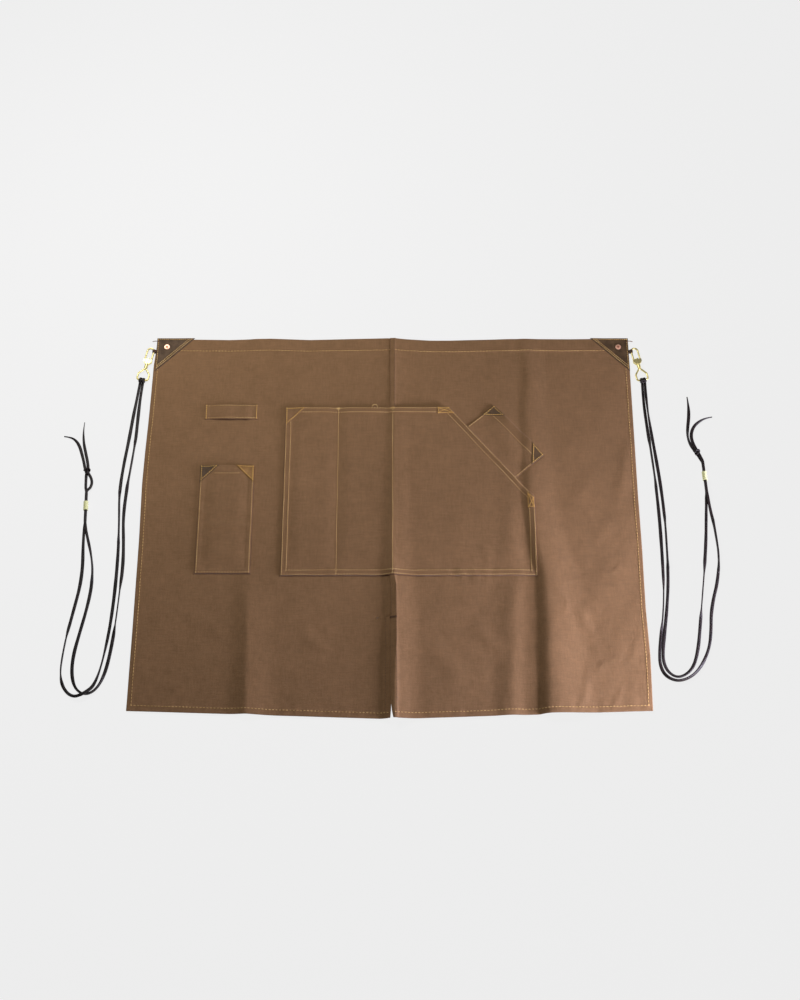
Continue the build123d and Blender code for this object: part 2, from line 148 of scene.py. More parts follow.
# Each fold: the crest as (y, x, height), the width of its bank on either side, and how each bank
# runs: 1 eases both ends, less than 1 peaks at the crest, below 0 creases at the foot
folds = [
    # the middle seam stands up, most at the hem
    ([(344, 5, 1.8), (185, 3, 3.2), (35, 1, 4.8), (-92, 2, 6.6), (-122, 7, 7.2), (-175, 8, 7.8),
      (-344, 6, 9.0)], (12, 27), (22, 42), (0.75, 0.3)),
    # the long fold to the right of the main pocket
    ([(344, 229, 1.2), (263, 237, 3.3), (204, 231, 3.0), (147, 233, 3.0), (40, 231, 4.6), (-56, 242, 6.4),
      (-103, 251, 6.8), (-211, 253, 7.8), (-344, 250, 8.2)], (13, 20), (30, 76), (-0.15, 1.0)),
    # a softer swell to the left of that fold
    ([(344, 196, 0.2), (40, 196, 1.0), (-103, 198, 2.2), (-344, 188, 3.4)], (26, 34), (20, 26), (0.9, 0.9)),
    # the fold below the phone pocket
    ([(-80, -237, 0.0), (-112, -236, 1.6), (-178, -232, 4.0), (-344, -226, 6.0)],
     (20, 30), (34, 52), (0.35, 0.5)),
    # a faint standing crease near the waist edge on the left
    ([(344, -236, 0.9), (224, -231, 0.6), (170, -230, 0.0)], (16, 16), (22, 22), (0.6, 0.6)),
    # near the right edge, half way down
    ([(150, 398, 0.0), (133, 396, 1.0), (60, 384, 1.6), (0, 372, 0.0)], (18, 24), (22, 26), (0.5, 0.5)),
]

# Each wrinkle runs across the cloth between two ends: (x, y), (x, y), height, bank, crispness
wrinkles = [
    ((292, -336), (322, -240), 0.9, 11, 0.3),
    ((306, -278), (372, -232), 0.9, 13, 0.4),
    ((334, -101), (378, -90), 0.8, 8, 0.3),
    ((346, -336), (362, -284), 0.8, 9, 0.3),
    ((268, -118), (286, -176), 0.8, 10, 0.3),
    ((274, -70), (300, -98), 0.6, 9, 0.5),
    ((366, -266), (398, -204), 0.7, 12, 0.5),
    ((318, -240), (308, -140), 0.8, 17, 0.7),
    ((338, -218), (288, -150), 0.6, 15, 0.6),
    ((262, -120), (330, -104), 0.6, 9, 0.3),
    ((292, 20), (350, 96), 0.9, 24, 0.9),
    ((318, -40), (402, 12), 0.8, 20, 0.7),
    ((-150, -190), (-96, -240), 0.9, 22, 0.8),
    ((60, -210), (110, -290), 1.0, 24, 0.9),
    ((128, -170), (176, -250), 0.9, 20, 0.8),
    ((-330, -160), (-262, -212), 0.8, 22, 0.9),
    ((-332, 16), (-280, 2), 0.9, 6, 0.2),
    ((-318, -9), (-226, -21), 1.2, 7, 0.15),
    ((-318, -48), (-262, -37), 0.6, 6, 0.4),
]


def crest(t, crisp):
    """Height share at t bank widths from a crest."""
    t = np.clip(np.abs(t), 0.0, 1.0)
    if crisp < 0:
        return 1 - t ** 2 * (1 - 2 * (1 - t) * crisp)
    return (1 - t) ** 2 * (1 + 2 * t * crisp)


def fold_height(x, y):
    total = np.zeros_like(x, dtype=float)
    for line, left, right, crisp in folds:
        ys, xs, hs = (np.array(c, dtype=float) for c in zip(*line[::-1]))
        down = np.clip((waist_y - y) / (waist_y - hem_mid), 0, 1)
        wander = 1.1 * np.sin(y / 37 + xs[0]) + 0.35 * np.sin(y / 13 + 2 * xs[0])
        off, height = x - np.interp(y, ys, xs) - wander * down, np.interp(y, ys, hs)
        share = np.where(off < 0, crest(off / (left[0] + (left[1] - left[0]) * down), crisp[0]),
                         crest(off / (right[0] + (right[1] - right[0]) * down), crisp[1]))
        total = np.maximum(total, 0) + height * share
    for (x0, y0), (x1, y1), height, bank, crisp in wrinkles:
        run = math.hypot(x1 - x0, y1 - y0)
        dx, dy = (x1 - x0) / run, (y1 - y0) / run
        along = ((x - x0) * dx + (y - y0) * dy) / run
        across = (x - x0) * dy - (y - y0) * dx + 3 * np.sin(along * 7 + x0)
        total = total + height * crest(across / bank, crisp) * ease(along * 4) * ease((1 - along) * 4)
    return total


def ripples(x, y):
    """Soft lumps all over, a little stronger to the lower right."""
    u = x + 9 * np.sin(y / 47 + 0.6) + 5 * np.sin(x / 29)
    v = y + 8 * np.sin(x / 53 + 1.9) + 4 * np.sin(y / 23 + x / 60)
    coarse = np.sin(u / 33 + 1.3) * np.sin(v / 41 + 0.4) + 0.6 * np.sin(u / 17 - v / 23 + 2.1)
    fine = np.sin(u / 9.5 + v / 14) * np.sin(v / 8.1 - u / 19 + 0.8)
    finest = np.sin(u / 5.2 - v / 7.7 + 2 * np.sin(v / 37))
    fine = fine + 0.55 * finest * np.sin(v / 6.1 + u / 11 + 2 * np.sin(u / 31))
    strength = 0.30 + 0.45 * ease((x + 60) / 420) * ease((140 - y) / 300) + 0.12 * ease((60 - y) / 300)
    return strength * (1.15 + 0.62 * coarse + 0.16 * fine)


def hem_y(x):
    return hem_mid + hem_rise * np.abs(x) / half_width


def level(x, y):
    """1 over most of the cloth, 0 where rivets and patches hold it flat."""
    corner = np.maximum(np.abs(x) - (half_width - 70), 0) / 55, np.maximum(y - (waist_y - 70), 0) / 55
    return 1 - ease(np.minimum(*corner) * 1.6) * ease(corner[0] * 2) * ease(corner[1] * 2)


def hem_band(x, y, soft=1.6):
    """1 on the turned-in hems, 0 on the single cloth between them."""
    inward = [waist_y - y - top_hem, x - left_edge - side_hem, right_edge - x - side_hem,
              y - hem_y(x) - bottom_hem]
    return 1 - ease((np.minimum.reduce(inward) + soft / 2) / soft)


def seam_shift(y):
    """The middle seam steps to the right below the main pocket."""
    return 2.6 * ease((main_y0 + 6 - y) / 24)


def seam_band(x, y):
    lean = 2.4 * np.clip((main_y0 - y) / (main_y0 - hem_mid), 0, 1)
    x = x - seam_shift(y)
    return ease((x + lap + 0.6) / 1.0) * (1 - ease((x - lap - lean) / 1.2))


def ground(x, y):
    """Height of the apron's face."""
    x, y = np.asarray(x, float), np.asarray(y, float)
    hold = level(x, y)
    puckers = 0.16 * np.sin(x / 2.9 + 1.5 * np.sin(x / 17)) * np.exp(-((waist_y - top_hem - y) / 9) ** 2)
    at_hem = np.exp(-((y - hem_y(x) - bottom_hem) / 8) ** 2)
    puckers = puckers + 0.16 * np.sin(x / 3.1 + 1.2 * np.sin(x / 23)) * at_hem
    at_pocket = np.exp(-np.abs(y - main_y0 - 1) / 13)
    gathers = np.sin(x / 4.6 + 1.7 * np.sin(x / 21)) * np.sin(x / 27 + 0.6) * at_pocket
    gathers = gathers * ease((x - 20) / 30) * ease((236 - x) / 20) * 0.55
    ends = 1 - ease((np.minimum(waist_y - y - top_hem, y - hem_y(x) - bottom_hem) + 0.8) / 1.6)
    step = 0.36 * (1 - ends) + 0.08 * (1 - hem_band(x, y))
    lie = (fold_height(x, y) + ripples(x, y) + puckers * 1.4 + gathers + 0.2) * hold
    return face_z + lie - step * hold + 0.9 * seam_band(x, y)


# ---- finishes

class Wire:
    """A node socket that takes part in sums."""

    def __init__(self, tree, socket):
        self.tree, self.socket = tree, socket

    def _sum(self, kind, a, b):
        node = self.tree.nodes.new("ShaderNodeMath")
        node.operation = kind
        for slot, value in zip(node.inputs, (a, b)):
            if isinstance(value, Wire):
                self.tree.links.new(value.socket, slot)
            else:
                slot.default_value = value
        return Wire(self.tree, node.outputs[0])

    def __add__(self, other):
        return self._sum("ADD", self, other)

    def __rsub__(self, other):
        return self._sum("SUBTRACT", other, self)

    def __mul__(self, other):
        return self._sum("MULTIPLY", self, other)


class Finish:
    """A material and the nodes that make it."""

    def __init__(self, name, **constants):
        self.material = bpy.data.materials.new(name)
        self.material.use_nodes = True
        self.tree = self.material.node_tree
        self.shader = self.tree.nodes["Principled BSDF"]
        for socket, value in constants.items():
            self.shader.inputs[socket.replace("_", " ")].default_value = value
        self.object = self.node("ShaderNodeTexCoord", out="Object")

    def node(self, kind, settings=None, out=0, **sockets):
        node = self.tree.nodes.new(kind)
        for key, value in (settings or {}).items():
            setattr(node, key, value)
        for socket, value in sockets.items():
            slot = node.inputs[int(socket[1:])] if socket[0] == "_" else node.inputs[socket.replace("_", " ")]
            if isinstance(value, Wire):
                self.tree.links.new(value.socket, slot)
            else:
                slot.default_value = value
        return Wire(self.tree, node.outputs[out])

    def noise(self, scale, detail=3.0, rough=0.5, stretch=(1, 1, 1), at=(0, 0, 0), turn=0.0):
        vector = self.node("ShaderNodeMapping", None, 0, Vector=self.object, Scale=stretch,
                           Location=at, Rotation=(0, 0, turn))
        return self.node("ShaderNodeTexNoise", None, "Fac", Vector=vector, Scale=scale, Detail=detail,
                         Roughness=rough)

    def span(self, value, low, high, to_low=0.0, to_high=1.0):
        return self.node("ShaderNodeMapRange", None, 0, Value=value, From_Min=low, From_Max=high,
                         To_Min=to_low, To_Max=to_high)

    def blend(self, amount, first, second):
        return self.node("ShaderNodeMix", {"data_type": "RGBA", "blend_type": "MIX"}, 2,
                         _0=amount, _6=first, _7=second)

    def parts(self, vector):
        node = self.tree.nodes.new("ShaderNodeSeparateXYZ")
        self.tree.links.new(vector.socket, node.inputs[0])
        return [Wire(self.tree, socket) for socket in node.outputs]

    def sine(self, value):
        node = self.tree.nodes.new("ShaderNodeMath")
        node.operation = "SINE"
        self.tree.links.new(value.socket, node.inputs[0])
        return Wire(self.tree, node.outputs[0])

    def turned(self, angle):
        return self.node("ShaderNodeMapping", None, 0, Vector=self.object, Rotation=(0, 0, angle))

    def wear(self, colour, rough, height=None, distance=0.001, strength=0.5):
        """Colour, roughness and relief, joined to the shader."""
        self.tree.links.new(colour.socket, self.shader.inputs["Base Color"])
        if isinstance(rough, Wire):
            self.tree.links.new(rough.socket, self.shader.inputs["Roughness"])
        else:
            self.shader.inputs["Roughness"].default_value = rough
        if height:
            relief = self.node("ShaderNodeBump", None, 0, Height=height, Distance=distance, Strength=strength)
            self.tree.links.new(relief.socket, self.shader.inputs["Normal"])
        return self.material


def tint(red, green, blue):
    """A display colour, 0 to 255, as a linear one."""
    linear = [((c / 255 + 0.055) / 1.055) ** 2.4 if c > 10 else c / 255 / 12.92 for c in (red, green, blue)]
    return (*linear, 1)


def canvas(name, turn=0.0, shade=1.0):
    """Waxed cotton: plain weave, cloudy wax, rubbed where it is creased."""
    f = Finish(name, Specular_IOR_Level=0.22, Sheen_Weight=0.20, Sheen_Roughness=0.5)
    x, y, _ = f.parts(f.turned(turn))
    waver = f.noise(60, 2) * 0.0009
    warp = f.sine((x + waver) * (2 * math.pi / 0.00115))
    weft = f.sine((y + waver) * (2 * math.pi / 0.00105))
    weave = warp * weft
    lengthways = f.noise(420, 2, 0.6, (0.14, 1, 1), turn=turn)
    crossways = f.noise(420, 2, 0.6, (1, 0.14, 1), turn=turn)
    slubs = lengthways * 0.5 + crossways * 0.5
    clouds = f.noise(5.5, 4, 0.55)
    blots = f.noise(38, 5, 0.62, at=(3, 1, 0))
    specks = f.noise(900, 2, 0.7)
    tone = clouds * 0.22 + blots * 0.20 + slubs * 0.58
    dark = tuple(c * shade for c in canvas_dark[:3]) + (1,)
    light = tuple(c * shade for c in canvas_light[:3]) + (1,)
    colour = f.blend(f.span(tone, 0.30, 0.72), dark, light)
    colour = f.blend(f.span(specks, 0.62, 0.80, 0, 0.30), colour, tint(178, 142, 104))
    colour = f.blend(f.span(specks, 0.36, 0.22, 0, 0.35), colour, tint(52, 36, 26))
    rough = f.span(blots * 0.6 + clouds * 0.4, 0.3, 0.7, 0.70, 0.58)
    crumple = f.noise(42, 4, 0.62, at=(1, 4, 0))
    creased = f.noise(15, 5, 0.62, at=(5, 2, 0))
    height = weave * 0.16 + slubs * 0.50 + specks * 0.20 + crumple * 1.2 + creased * 2.6
    return f.wear(colour, rough, height, 0.00062, 0.8)


def leather(name, dark, light, grain=900, shine=0.5, scuff=0.25, sheen=0.4):
    """Creased hide with a pebbled grain and paler scuffs."""
    f = Finish(name, Specular_IOR_Level=sheen)
    cells = f.node("ShaderNodeTexVoronoi", {"feature": "DISTANCE_TO_EDGE"}, 0, Vector=f.object, Scale=grain)
    pores = f.span(cells, 0.0, 0.25)
    cloud = f.noise(90, 4, 0.6)
    scratch = f.noise(330, 3, 0.6, (1, 0.2, 1), turn=0.7)
    colour = f.blend(f.span(cloud, 0.32, 0.68), dark, light)
    scuffed = tuple(min(1, c * 2.1) for c in light[:3]) + (1,)
    colour = f.blend(f.span(scratch, 0.60, 0.78, 0, scuff), colour, scuffed)
    colour = f.blend((1 - pores) * 0.35, colour, tuple(c * 0.4 for c in dark[:3]) + (1,))
    rough = f.span(cloud + scratch * 0.4, 0.4, 0.9, shine + 0.08, shine - 0.08)
    return f.wear(colour, rough, pores * 0.6 + cloud * 0.8 + scratch * 0.4, 0.00022, 0.7)


def metal(name, colour, tarnish, shine=0.22, scale=60, bare=0.7):
    """Polished metal with handling marks and a little tarnish."""
    f = Finish(name, Metallic=bare)
    cloud = f.noise(scale * 5, 4, 0.6)
    marks = f.noise(scale * 30, 2, 0.6, (1, 0.15, 1), turn=0.5)
    mixed = f.blend(f.span(cloud + marks * 0.25, 0.50, 0.85, 0, 0.75), colour, tarnish)
    rough = f.span(cloud * 0.7 + marks * 0.5, 0.35, 0.85, shine - 0.06, shine + 0.16)
    return f.wear(mixed, rough, marks * 0.5 + cloud, 0.00008, 0.4)


def thread(name, colour, shadow):
    """Waxed cotton thread: fine twisted strands."""
    f = Finish(name, Specular_IOR_Level=0.35, Sheen_Weight=0.1)
    strands = f.noise(2600, 2, 0.6)
    worn = f.noise(35, 3, 0.6)
    mixed = f.blend(f.span(strands * 0.5 + worn * 0.5, 0.38, 0.62), shadow, colour)
    return f.wear(mixed, 0.62, strands, 0.0002, 0.6)


canvas_dark = tint(114, 84, 50)
canvas_light = tint(146, 109, 71)
canvas_cloth = canvas("waxed_canvas")
canvas_leaning = canvas("waxed_canvas_leaning", -tool_turn)
patch_hide = leather("olive_patch_leather", tint(78, 60, 40), tint(108, 84, 58), 1100, 0.6, 0.12, 0.25)
golden_hide = leather("golden_patch_leather", tint(136, 100, 54), tint(172, 130, 74), 1100, 0.6, 0.12, 0.25)
lace_hide = leather("dark_lace_leather", tint(20, 14, 13), tint(40, 29, 27), 1500, 0.5, 0.05, 0.3)
tab_hide = leather("brown_tab_leather", tint(62, 42, 28), tint(96, 68, 44), 1100, 0.5, 0.25)
brass = metal("pale_brass", tint(240, 228, 158), tint(196, 176, 100), 0.34)
bead_brass = metal("worn_bead_brass", tint(228, 230, 176), tint(214, 212, 150), 0.66, bare=0.35)
rivet_copper = metal("worn_copper", tint(196, 128, 98), tint(150, 92, 66), 0.5, bare=0.5)
copper = metal("copper", tint(255, 206, 172), tint(224, 156, 122), 0.42, bare=0.45)
steel = metal("spring_steel", tint(206, 206, 204), tint(150, 146, 138), 0.3)
gold_thread = thread("tan_thread", tint(250, 214, 140), tint(190, 146, 84))
bright_thread = thread("golden_thread", tint(240, 196, 104), tint(206, 154, 72))
dark_thread = thread("dark_thread", tint(120, 84, 54), tint(84, 58, 38))
brown_thread = thread("seam_thread", tint(246, 206, 128), tint(188, 146, 80))

for node, finish in {"snap_hook": brass, "gate": brass, "gate_pin": steel, "gate_spring": steel,
                     "swivel_eye": brass, "bead": bead_brass, "rivet": rivet_copper,
                     "rivet_burr": copper}.items():
    for side in SIDES:
        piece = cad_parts[f"{side}_{node}"]
        piece.data.materials.clear()
        piece.data.materials.append(finish)


# ---- floor, light and camera

def set_the_stage():
    floor = bpy.data.meshes.new("floor")
    reach, low = 9, -0.0006
    corners = [(-reach, -reach, low), (reach, -reach, low), (reach, reach, low), (-reach, reach, low)]
    floor.from_pydata(corners, [], [(0, 1, 2, 3)])
    pale = bpy.data.materials.new("pale_floor")
    pale.use_nodes = True
    shader = pale.node_tree.nodes["Principled BSDF"]
    shader.inputs["Base Color"].default_value = (0.07, 0.07, 0.07, 1)
    shader.inputs["Roughness"].default_value = 1.0
    shader.inputs["Specular IOR Level"].default_value = 0.0
    shader.inputs["Emission Color"].default_value = (1, 1, 1, 1)
    shader.inputs["Emission Strength"].default_value = floor_glow
    floor.materials.append(pale)
    ground_plane = bpy.data.objects.new("floor", floor)
    bpy.context.scene.collection.objects.link(ground_plane)

    world = bpy.data.worlds.new("studio")
    world.use_nodes = True
    nodes, links = world.node_tree.nodes, world.node_tree.links
    sky = nodes["Background"]
    sky.inputs[1].default_value = sky_light
    seen = nodes.new("ShaderNodeBackground")
    seen.inputs[0].default_value = (0.83, 0.83, 0.83, 1)
    sky.inputs[0].default_value = (1, 1, 1, 1)
    pick, mix = nodes.new("ShaderNodeLightPath"), nodes.new("ShaderNodeMixShader")
    links.new(pick.outputs["Is Camera Ray"], mix.inputs[0])
    links.new(sky.outputs[0], mix.inputs[1])
    links.new(seen.outputs[0], mix.inputs[2])
    links.new(mix.outputs[0], nodes["World Output"].inputs[0])
    bpy.context.scene.world = world

    for name, place, aim, size, power, colour in lamps:
        data = bpy.data.lights.new(name, "AREA")
        data.shape = "RECTANGLE"
        data.size, data.size_y = size
        data.energy, data.color = power, colour
        lamp = bpy.data.objects.new(name, data)
        lamp.location = place
        lamp.visible_camera = False
        lamp.rotation_euler = (Vector(aim) - Vector(place)).to_track_quat("-Z", "Y").to_euler()
        bpy.context.scene.collection.objects.link(lamp)
        if name == "window":
            unlit = bpy.data.collections.new("floor_out_of_the_low_light")
            unlit.objects.link(ground_plane)
            lamp.light_linking.receiver_collection = unlit
            unlit.collection_objects[0].light_linking.link_state = "EXCLUDE"

    data = bpy.data.cameras.new("camera")
    data.lens, data.sensor_width = 56.09, 36
    camera = bpy.data.objects.new("camera", data)
    camera.location = (0.0129, -1.0598, 2.34506)
    camera.rotation_euler = (math.radians(25), 0, 0)
    bpy.context.scene.collection.objects.link(camera)
    bpy.context.scene.camera = camera
    bpy.context.scene.view_settings.view_transform = "Standard"


floor_glow = 0.83
sky_light = 0.07
lamps = [
    ("window", (1.0, -0.44, 0.25), (0.0, -0.18, 0), (0.22, 0.36), 19.8, (0.99, 0.965, 1.22)),
    ("waist_light", (-0.5, 0.72, 0.92), (-0.12, 0.14, 0), (0.6, 0.35), 8.8, (1.02, 0.995, 0.99)),
]
set_the_stage()


# ---- laces: flat leather strips along smooth routes

# Each point is (out, up, z) from the middle of the bow: lace, then the pair through the bead,
# then up to the knot and out to the tail.
routes = {
    "right_a": [
        (14.3, -61.7, 2.9), (14.2, -92, 2.3), (16.2, -133, 2.3), (21.8, -190, 2.3), (27.2, -250, 2.3),
        (30.2, -310, 2.3), (29.6, -370, 2.3), (28.2, -425, 2.3), (22.9, -472, 2.3), (15.8, -516, 2.3),
        (10.6, -548, 2.3), (10.2, -568, 2.3), (16.5, -584, 2.3), (30.2, -593, 2.3), (46.0, -587, 2.3),
        (58.2, -573, 2.3), (66.8, -546, 2.3), (72.4, -512, 2.3), (79.6, -462, 2.3), (87.4, -412, 2.3),
        (94.6, -360, 2.3), (98.9, -312, 2.3), (101.1, -288, 2.9), (102.0, -264.7, 4.2), (101.4, -242, 4.2),
        (100.6, -220, 4.2), (97.6, -208.5, 4.0), (92.6, -199.6, 4.6), (88.8, -193.6, 4.4), (82.4, -181, 2.6),
        (79.0, -166, 2.3), (80.8, -150, 2.3), (84.6, -128, 2.3), (85.8, -108, 2.3), (84.6, -89, 2.3)],
    "right_b": [
        (9.6, -62.6, 2.9), (9.2, -92, 2.3), (11.3, -135, 2.3), (15.4, -190, 2.3), (19.3, -250, 2.3),
        (21.4, -310, 2.3), (21.3, -372, 2.3), (20.2, -430, 2.3), (16.4, -478, 2.3), (9.8, -520, 2.3),
        (5.0, -550, 2.3), (4.4, -572, 2.3), (11.5, -590.5, 2.3), (29.5, -599.2, 2.3), (49.5, -593.5, 2.3),
        (65.0, -580, 2.3), (77.5, -560, 2.3), (86.4, -537, 2.3), (90.4, -510, 2.3), (92.4, -486, 2.3),
        (98.4, -459, 2.3), (106.4, -434, 2.3), (111.8, -404, 2.3), (113.4, -378, 2.3), (112.0, -352, 2.3),
        (109.9, -326, 2.3), (106.6, -303, 3.4), (104.2, -284, 5.4), (103.0, -264.4, 6.3), (102.0, -242, 6.3),
        (101.2, -220, 6.3), (98.9, -208.5, 6.3), (95.2, -198.6, 6.0), (92.6, -192.0, 5.0),
        (87.6, -178.6, 2.8),
        (85.4, -166, 2.3), (87.4, -154.5, 2.3), (93.2, -143.8, 2.3), (103.4, -135.4, 2.3), (114, -130.2, 2.3),
        (124, -128.5, 2.3)],
    "left_a": [
        (14.3, -61.7, 2.9), (17.2, -92, 2.3), (21.2, -125, 2.3), (25.2, -170, 2.3), (31.2, -222, 2.3),
        (34.2, -270, 2.3), (30.4, -322, 2.3), (28.0, -372, 2.3), (27.6, -424, 2.3), (29.2, -478, 2.3),
        (32.8, -526, 2.3), (38.2, -566, 2.3), (44.4, -594, 2.3), (50.8, -609, 4.6), (58.6, -617.0, 7.7),
        (67.6, -622.4, 7.7), (78.0, -624.6, 4.8), (89.4, -618.6, 2.3), (99.4, -604.5, 2.3),
        (103.6, -583, 2.3),
        (102.4, -556, 2.3), (98.6, -520, 2.3), (91.6, -478, 2.3), (85.2, -440, 2.3), (83.6, -404, 2.3),
        (86.2, -368, 2.3), (86.9, -342, 2.9), (86.6, -319.2, 4.2), (87.6, -297, 4.2), (88.6, -274.9, 4.2),
        (90.6, -262, 3.6), (91.4, -249, 3.4), (91.6, -236.4, 4.4), (89.0, -227.6, 4.4), (91.8, -213, 2.6),
        (96.2, -197, 2.3), (100.4, -181, 2.3), (102.7, -165, 2.3), (103.4, -152, 2.3), (102.8, -139, 2.3)],
    "left_b": [
        (9.6, -62.6, 2.9), (12.0, -92, 2.3), (13.1, -126, 2.3), (14.0, -175, 2.3), (18.4, -226, 2.3),
        (23.0, -272, 2.3), (24.4, -318, 2.3), (20.4, -360, 2.3), (18.2, -402, 2.3), (20.2, -450, 2.3),
        (22.4, -500, 2.3), (26.8, -548, 2.3), (31.8, -580, 2.3), (38.4, -602, 2.3), (48.0, -615.4, 2.3),
        (60.2, -620.8, 2.3), (72.6, -616.0, 2.3), (81.6, -602.6, 2.3), (86.2, -580, 2.3), (85.2, -553, 2.3),
        (79.2, -520, 2.3), (71.8, -482, 2.3), (66.8, -446, 2.3), (66.2, -412, 2.3), (71.4, -382, 2.6),
        (79.4, -354, 4.2), (84.2, -336, 5.6), (85.6, -319.5, 6.3), (86.8, -297, 6.3), (87.4, -274.7, 6.2),
        (84.4, -265.5, 4.4), (80.6, -254.5, 3.4), (82.6, -244, 3.8), (88.2, -235.8, 5.6), (94.2, -228.6, 4.8),
        (97.8, -214, 2.6), (102.4, -199, 2.3), (107.4, -184, 2.3), (114.6, -173, 2.3), (124.2, -167, 2.3),
        (135.2, -165.8, 2.3)],
}
lace_width, lace_thick = 4.5, 2.0
tube_r = 2.25            # the routes run at this height above the floor


def on_floor(side, point):
    out, up, z = point
    return np.array([SIDES[side] * (bow[0] + out), bow[1] + up, z])


def centre_line(name, points):
    """A smooth line through a route's control points, as close-set points in millimetres."""
    curve = bpy.data.curves.new(name + "_line", "CURVE")
    curve.dimensions, curve.resolution_u = "3D", 10
    spline = curve.splines.new("NURBS")
    spline.points.add(len(points) - 1)
    for point, place in zip(spline.points, points):
        point.co = (*(np.array(place) * MM), 1)
    spline.order_u, spline.use_endpoint_u = 3, True
    holder = bpy.data.objects.new(name + "_line", curve)
    mesh = bpy.data.meshes.new_from_object(holder)
    line = np.array([v.co[:] for v in mesh.vertices]) / MM
    bpy.data.objects.remove(holder)
    bpy.data.curves.remove(curve)
    bpy.data.meshes.remove(mesh)
    return line


def strap_section(width, thick, cut=0.45):
    """A flat strap's outline with eased corners, wide along the first axis."""
    a, b = width / 2, thick / 2
    return np.array([(a - cut, -b), (a, -b + cut), (a, b - cut), (a - cut, b), (0, b + 0.06), (-a + cut, b),
                     (-a, b - cut), (-a, -b + cut), (-a + cut, -b), (0, -b - 0.02)])


def sweep(line, across, section, closed=False):
    """Points and faces of a section carried along a line; across is its wide direction at each point."""
    tangent = np.gradient(line, axis=0)
    if closed:
        tangent = np.roll(line, -1, 0) - np.roll(line, 1, 0)
    tangent /= np.linalg.norm(tangent, axis=1, keepdims=True)
    across = across - (across * tangent).sum(1, keepdims=True) * tangent
    across /= np.linalg.norm(across, axis=1, keepdims=True)
    upward = np.cross(across, tangent)
    points = line[:, None] + section[None, :, :1] * across[:, None] + section[None, :, 1:] * upward[:, None]
    count, size = len(line), len(section)
    faces = []
    for i in range(count if closed else count - 1):
        j = (i + 1) % count
        for k in range(size):
            m = (k + 1) % size
            faces.append((i * size + k, i * size + m, j * size + m, j * size + k))
    if not closed:
        faces += [tuple(range(size))[::-1], tuple((count - 1) * size + k for k in range(size))]
    return points.reshape(-1, 3), faces


def outward(points, faces):
    """The same faces, turned to point outwards."""
    mesh = bmesh.new()
    corners = [mesh.verts.new(p) for p in points]
    for face in faces:
        mesh.faces.new([corners[i] for i in face])
    bmesh.ops.recalc_face_normals(mesh, faces=mesh.faces)
    mesh.verts.index_update()
    turned = [tuple(v.index for v in face.verts) for face in mesh.faces]
    mesh.free()
    return turned


def straight_run(side):
    """The bead's middle and both ends of the straight pair through it."""
    ends = []
    for strand, level in (("a", 4.2), ("b", 6.25)):
        held = [on_floor(side, p) for p in routes[f"{side}_{strand}"] if abs(p[2] - level) < 0.12]
        ends.append((held[0], held[2]))
    low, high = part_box(f"{side}_bead")
    middle = (np.array(low) + np.array(high)) / 2 / MM
    return middle, (ends[0][0] + ends[1][0]) / 2, (ends[0][1] + ends[1][1]) / 2


def make_lace(side, strand):
    """One strand: flat on the floor with a lazy twist, through the bead and knot to its tail."""
    points = [on_floor(side, p) for p in routes[f"{side}_{strand}"]]
    line = centre_line(f"{side}_lace_{strand}", points)
    run = np.concatenate([[0], np.cumsum(np.linalg.norm(np.diff(line, axis=0), axis=1))])
    phase = {"right_a": 0.4, "right_b": 2.2, "left_a": 4.1, "left_b": 5.3}[f"{side}_{strand}"]
    middle, low, high = straight_run(side)
    start, end = (run[np.argmin(np.linalg.norm(line - place, axis=1))] for place in (low, high))
    calm = ease((run - 8) / 60) * (1 - ease((run - start + 75) / 50) * (1 - ease((run - end - 20) / 40)))
    twist = np.sin(run / 68 + phase) + 0.3 * np.sin(run / 31 + phase * 3)
    twist = 1.42 * np.sign(twist) * ease((np.abs(twist) - 0.62) / 0.45) * calm
    flat = np.gradient(line, axis=0)
    flat /= np.linalg.norm(flat, axis=1, keepdims=True)
    sideways = np.cross(flat, [0, 0, 1.0])
    sideways /= np.linalg.norm(sideways, axis=1, keepdims=True)
    across = sideways * np.cos(twist)[:, None] + np.array([0, 0, 1.0]) * np.sin(twist)[:, None]
    stand = lace_width / 2 * np.abs(np.sin(twist)) + lace_thick / 2 * np.abs(np.cos(twist)) + 0.1
    strip = line.copy()
    strip[:, 2] += stand - tube_r
    axis = (high - low) / np.linalg.norm(high - low)
    straight = middle + ((strip - middle) @ axis)[:, None] * axis
    straight[:, 2] += 1.05 if strand == "b" else -1.05
    held = (ease((run - start + 16) / 14) * (1 - ease((run - end - 2) / 12)))[:, None]
    strip = strip * (1 - held) + straight * held
    section = strap_section(lace_width, lace_thick)
    vertices, faces = sweep(strip, across, section)
    broad = np.repeat(1 + 0.16 * calm, len(section))[:, None]
    to_tip = run[-1] - run
    point = 0.35 + 0.65 * ease(to_tip / 34)
    wander = 1 + calm * (0.06 * np.sin(run / 23 + phase) + 0.03 * np.sin(run / 7.3))
    wander = np.repeat(wander * point, len(section))[:, None]
    centre = np.repeat(strip, len(section), axis=0)
    vertices = centre + (vertices - centre) * wander * broad
    vertices[:, 2] = np.maximum(vertices[:, 2], 0.05)
    lace = make_mesh(f"{side}_leather_lace_{strand}", vertices, outward(vertices, faces), f"{side}_snap",
                     lace_hide)
    nodes = [f"{side}_{kind}_{strand}" for kind in ("lace", "upper", "tail")]
    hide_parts(*nodes, *([f"{side}_lace_pair"] if strand == "a" else []))
    return lace


laces = {(side, strand): make_lace(side, strand) for side in SIDES for strand in "ab"}


# ---- cloth

def lift_edges(u, v, u0, u1, v0, v1):
    """How far in a point is from the nearest border."""
    return np.minimum.reduce([u - u0, u1 - u, v - v0, v1 - v])


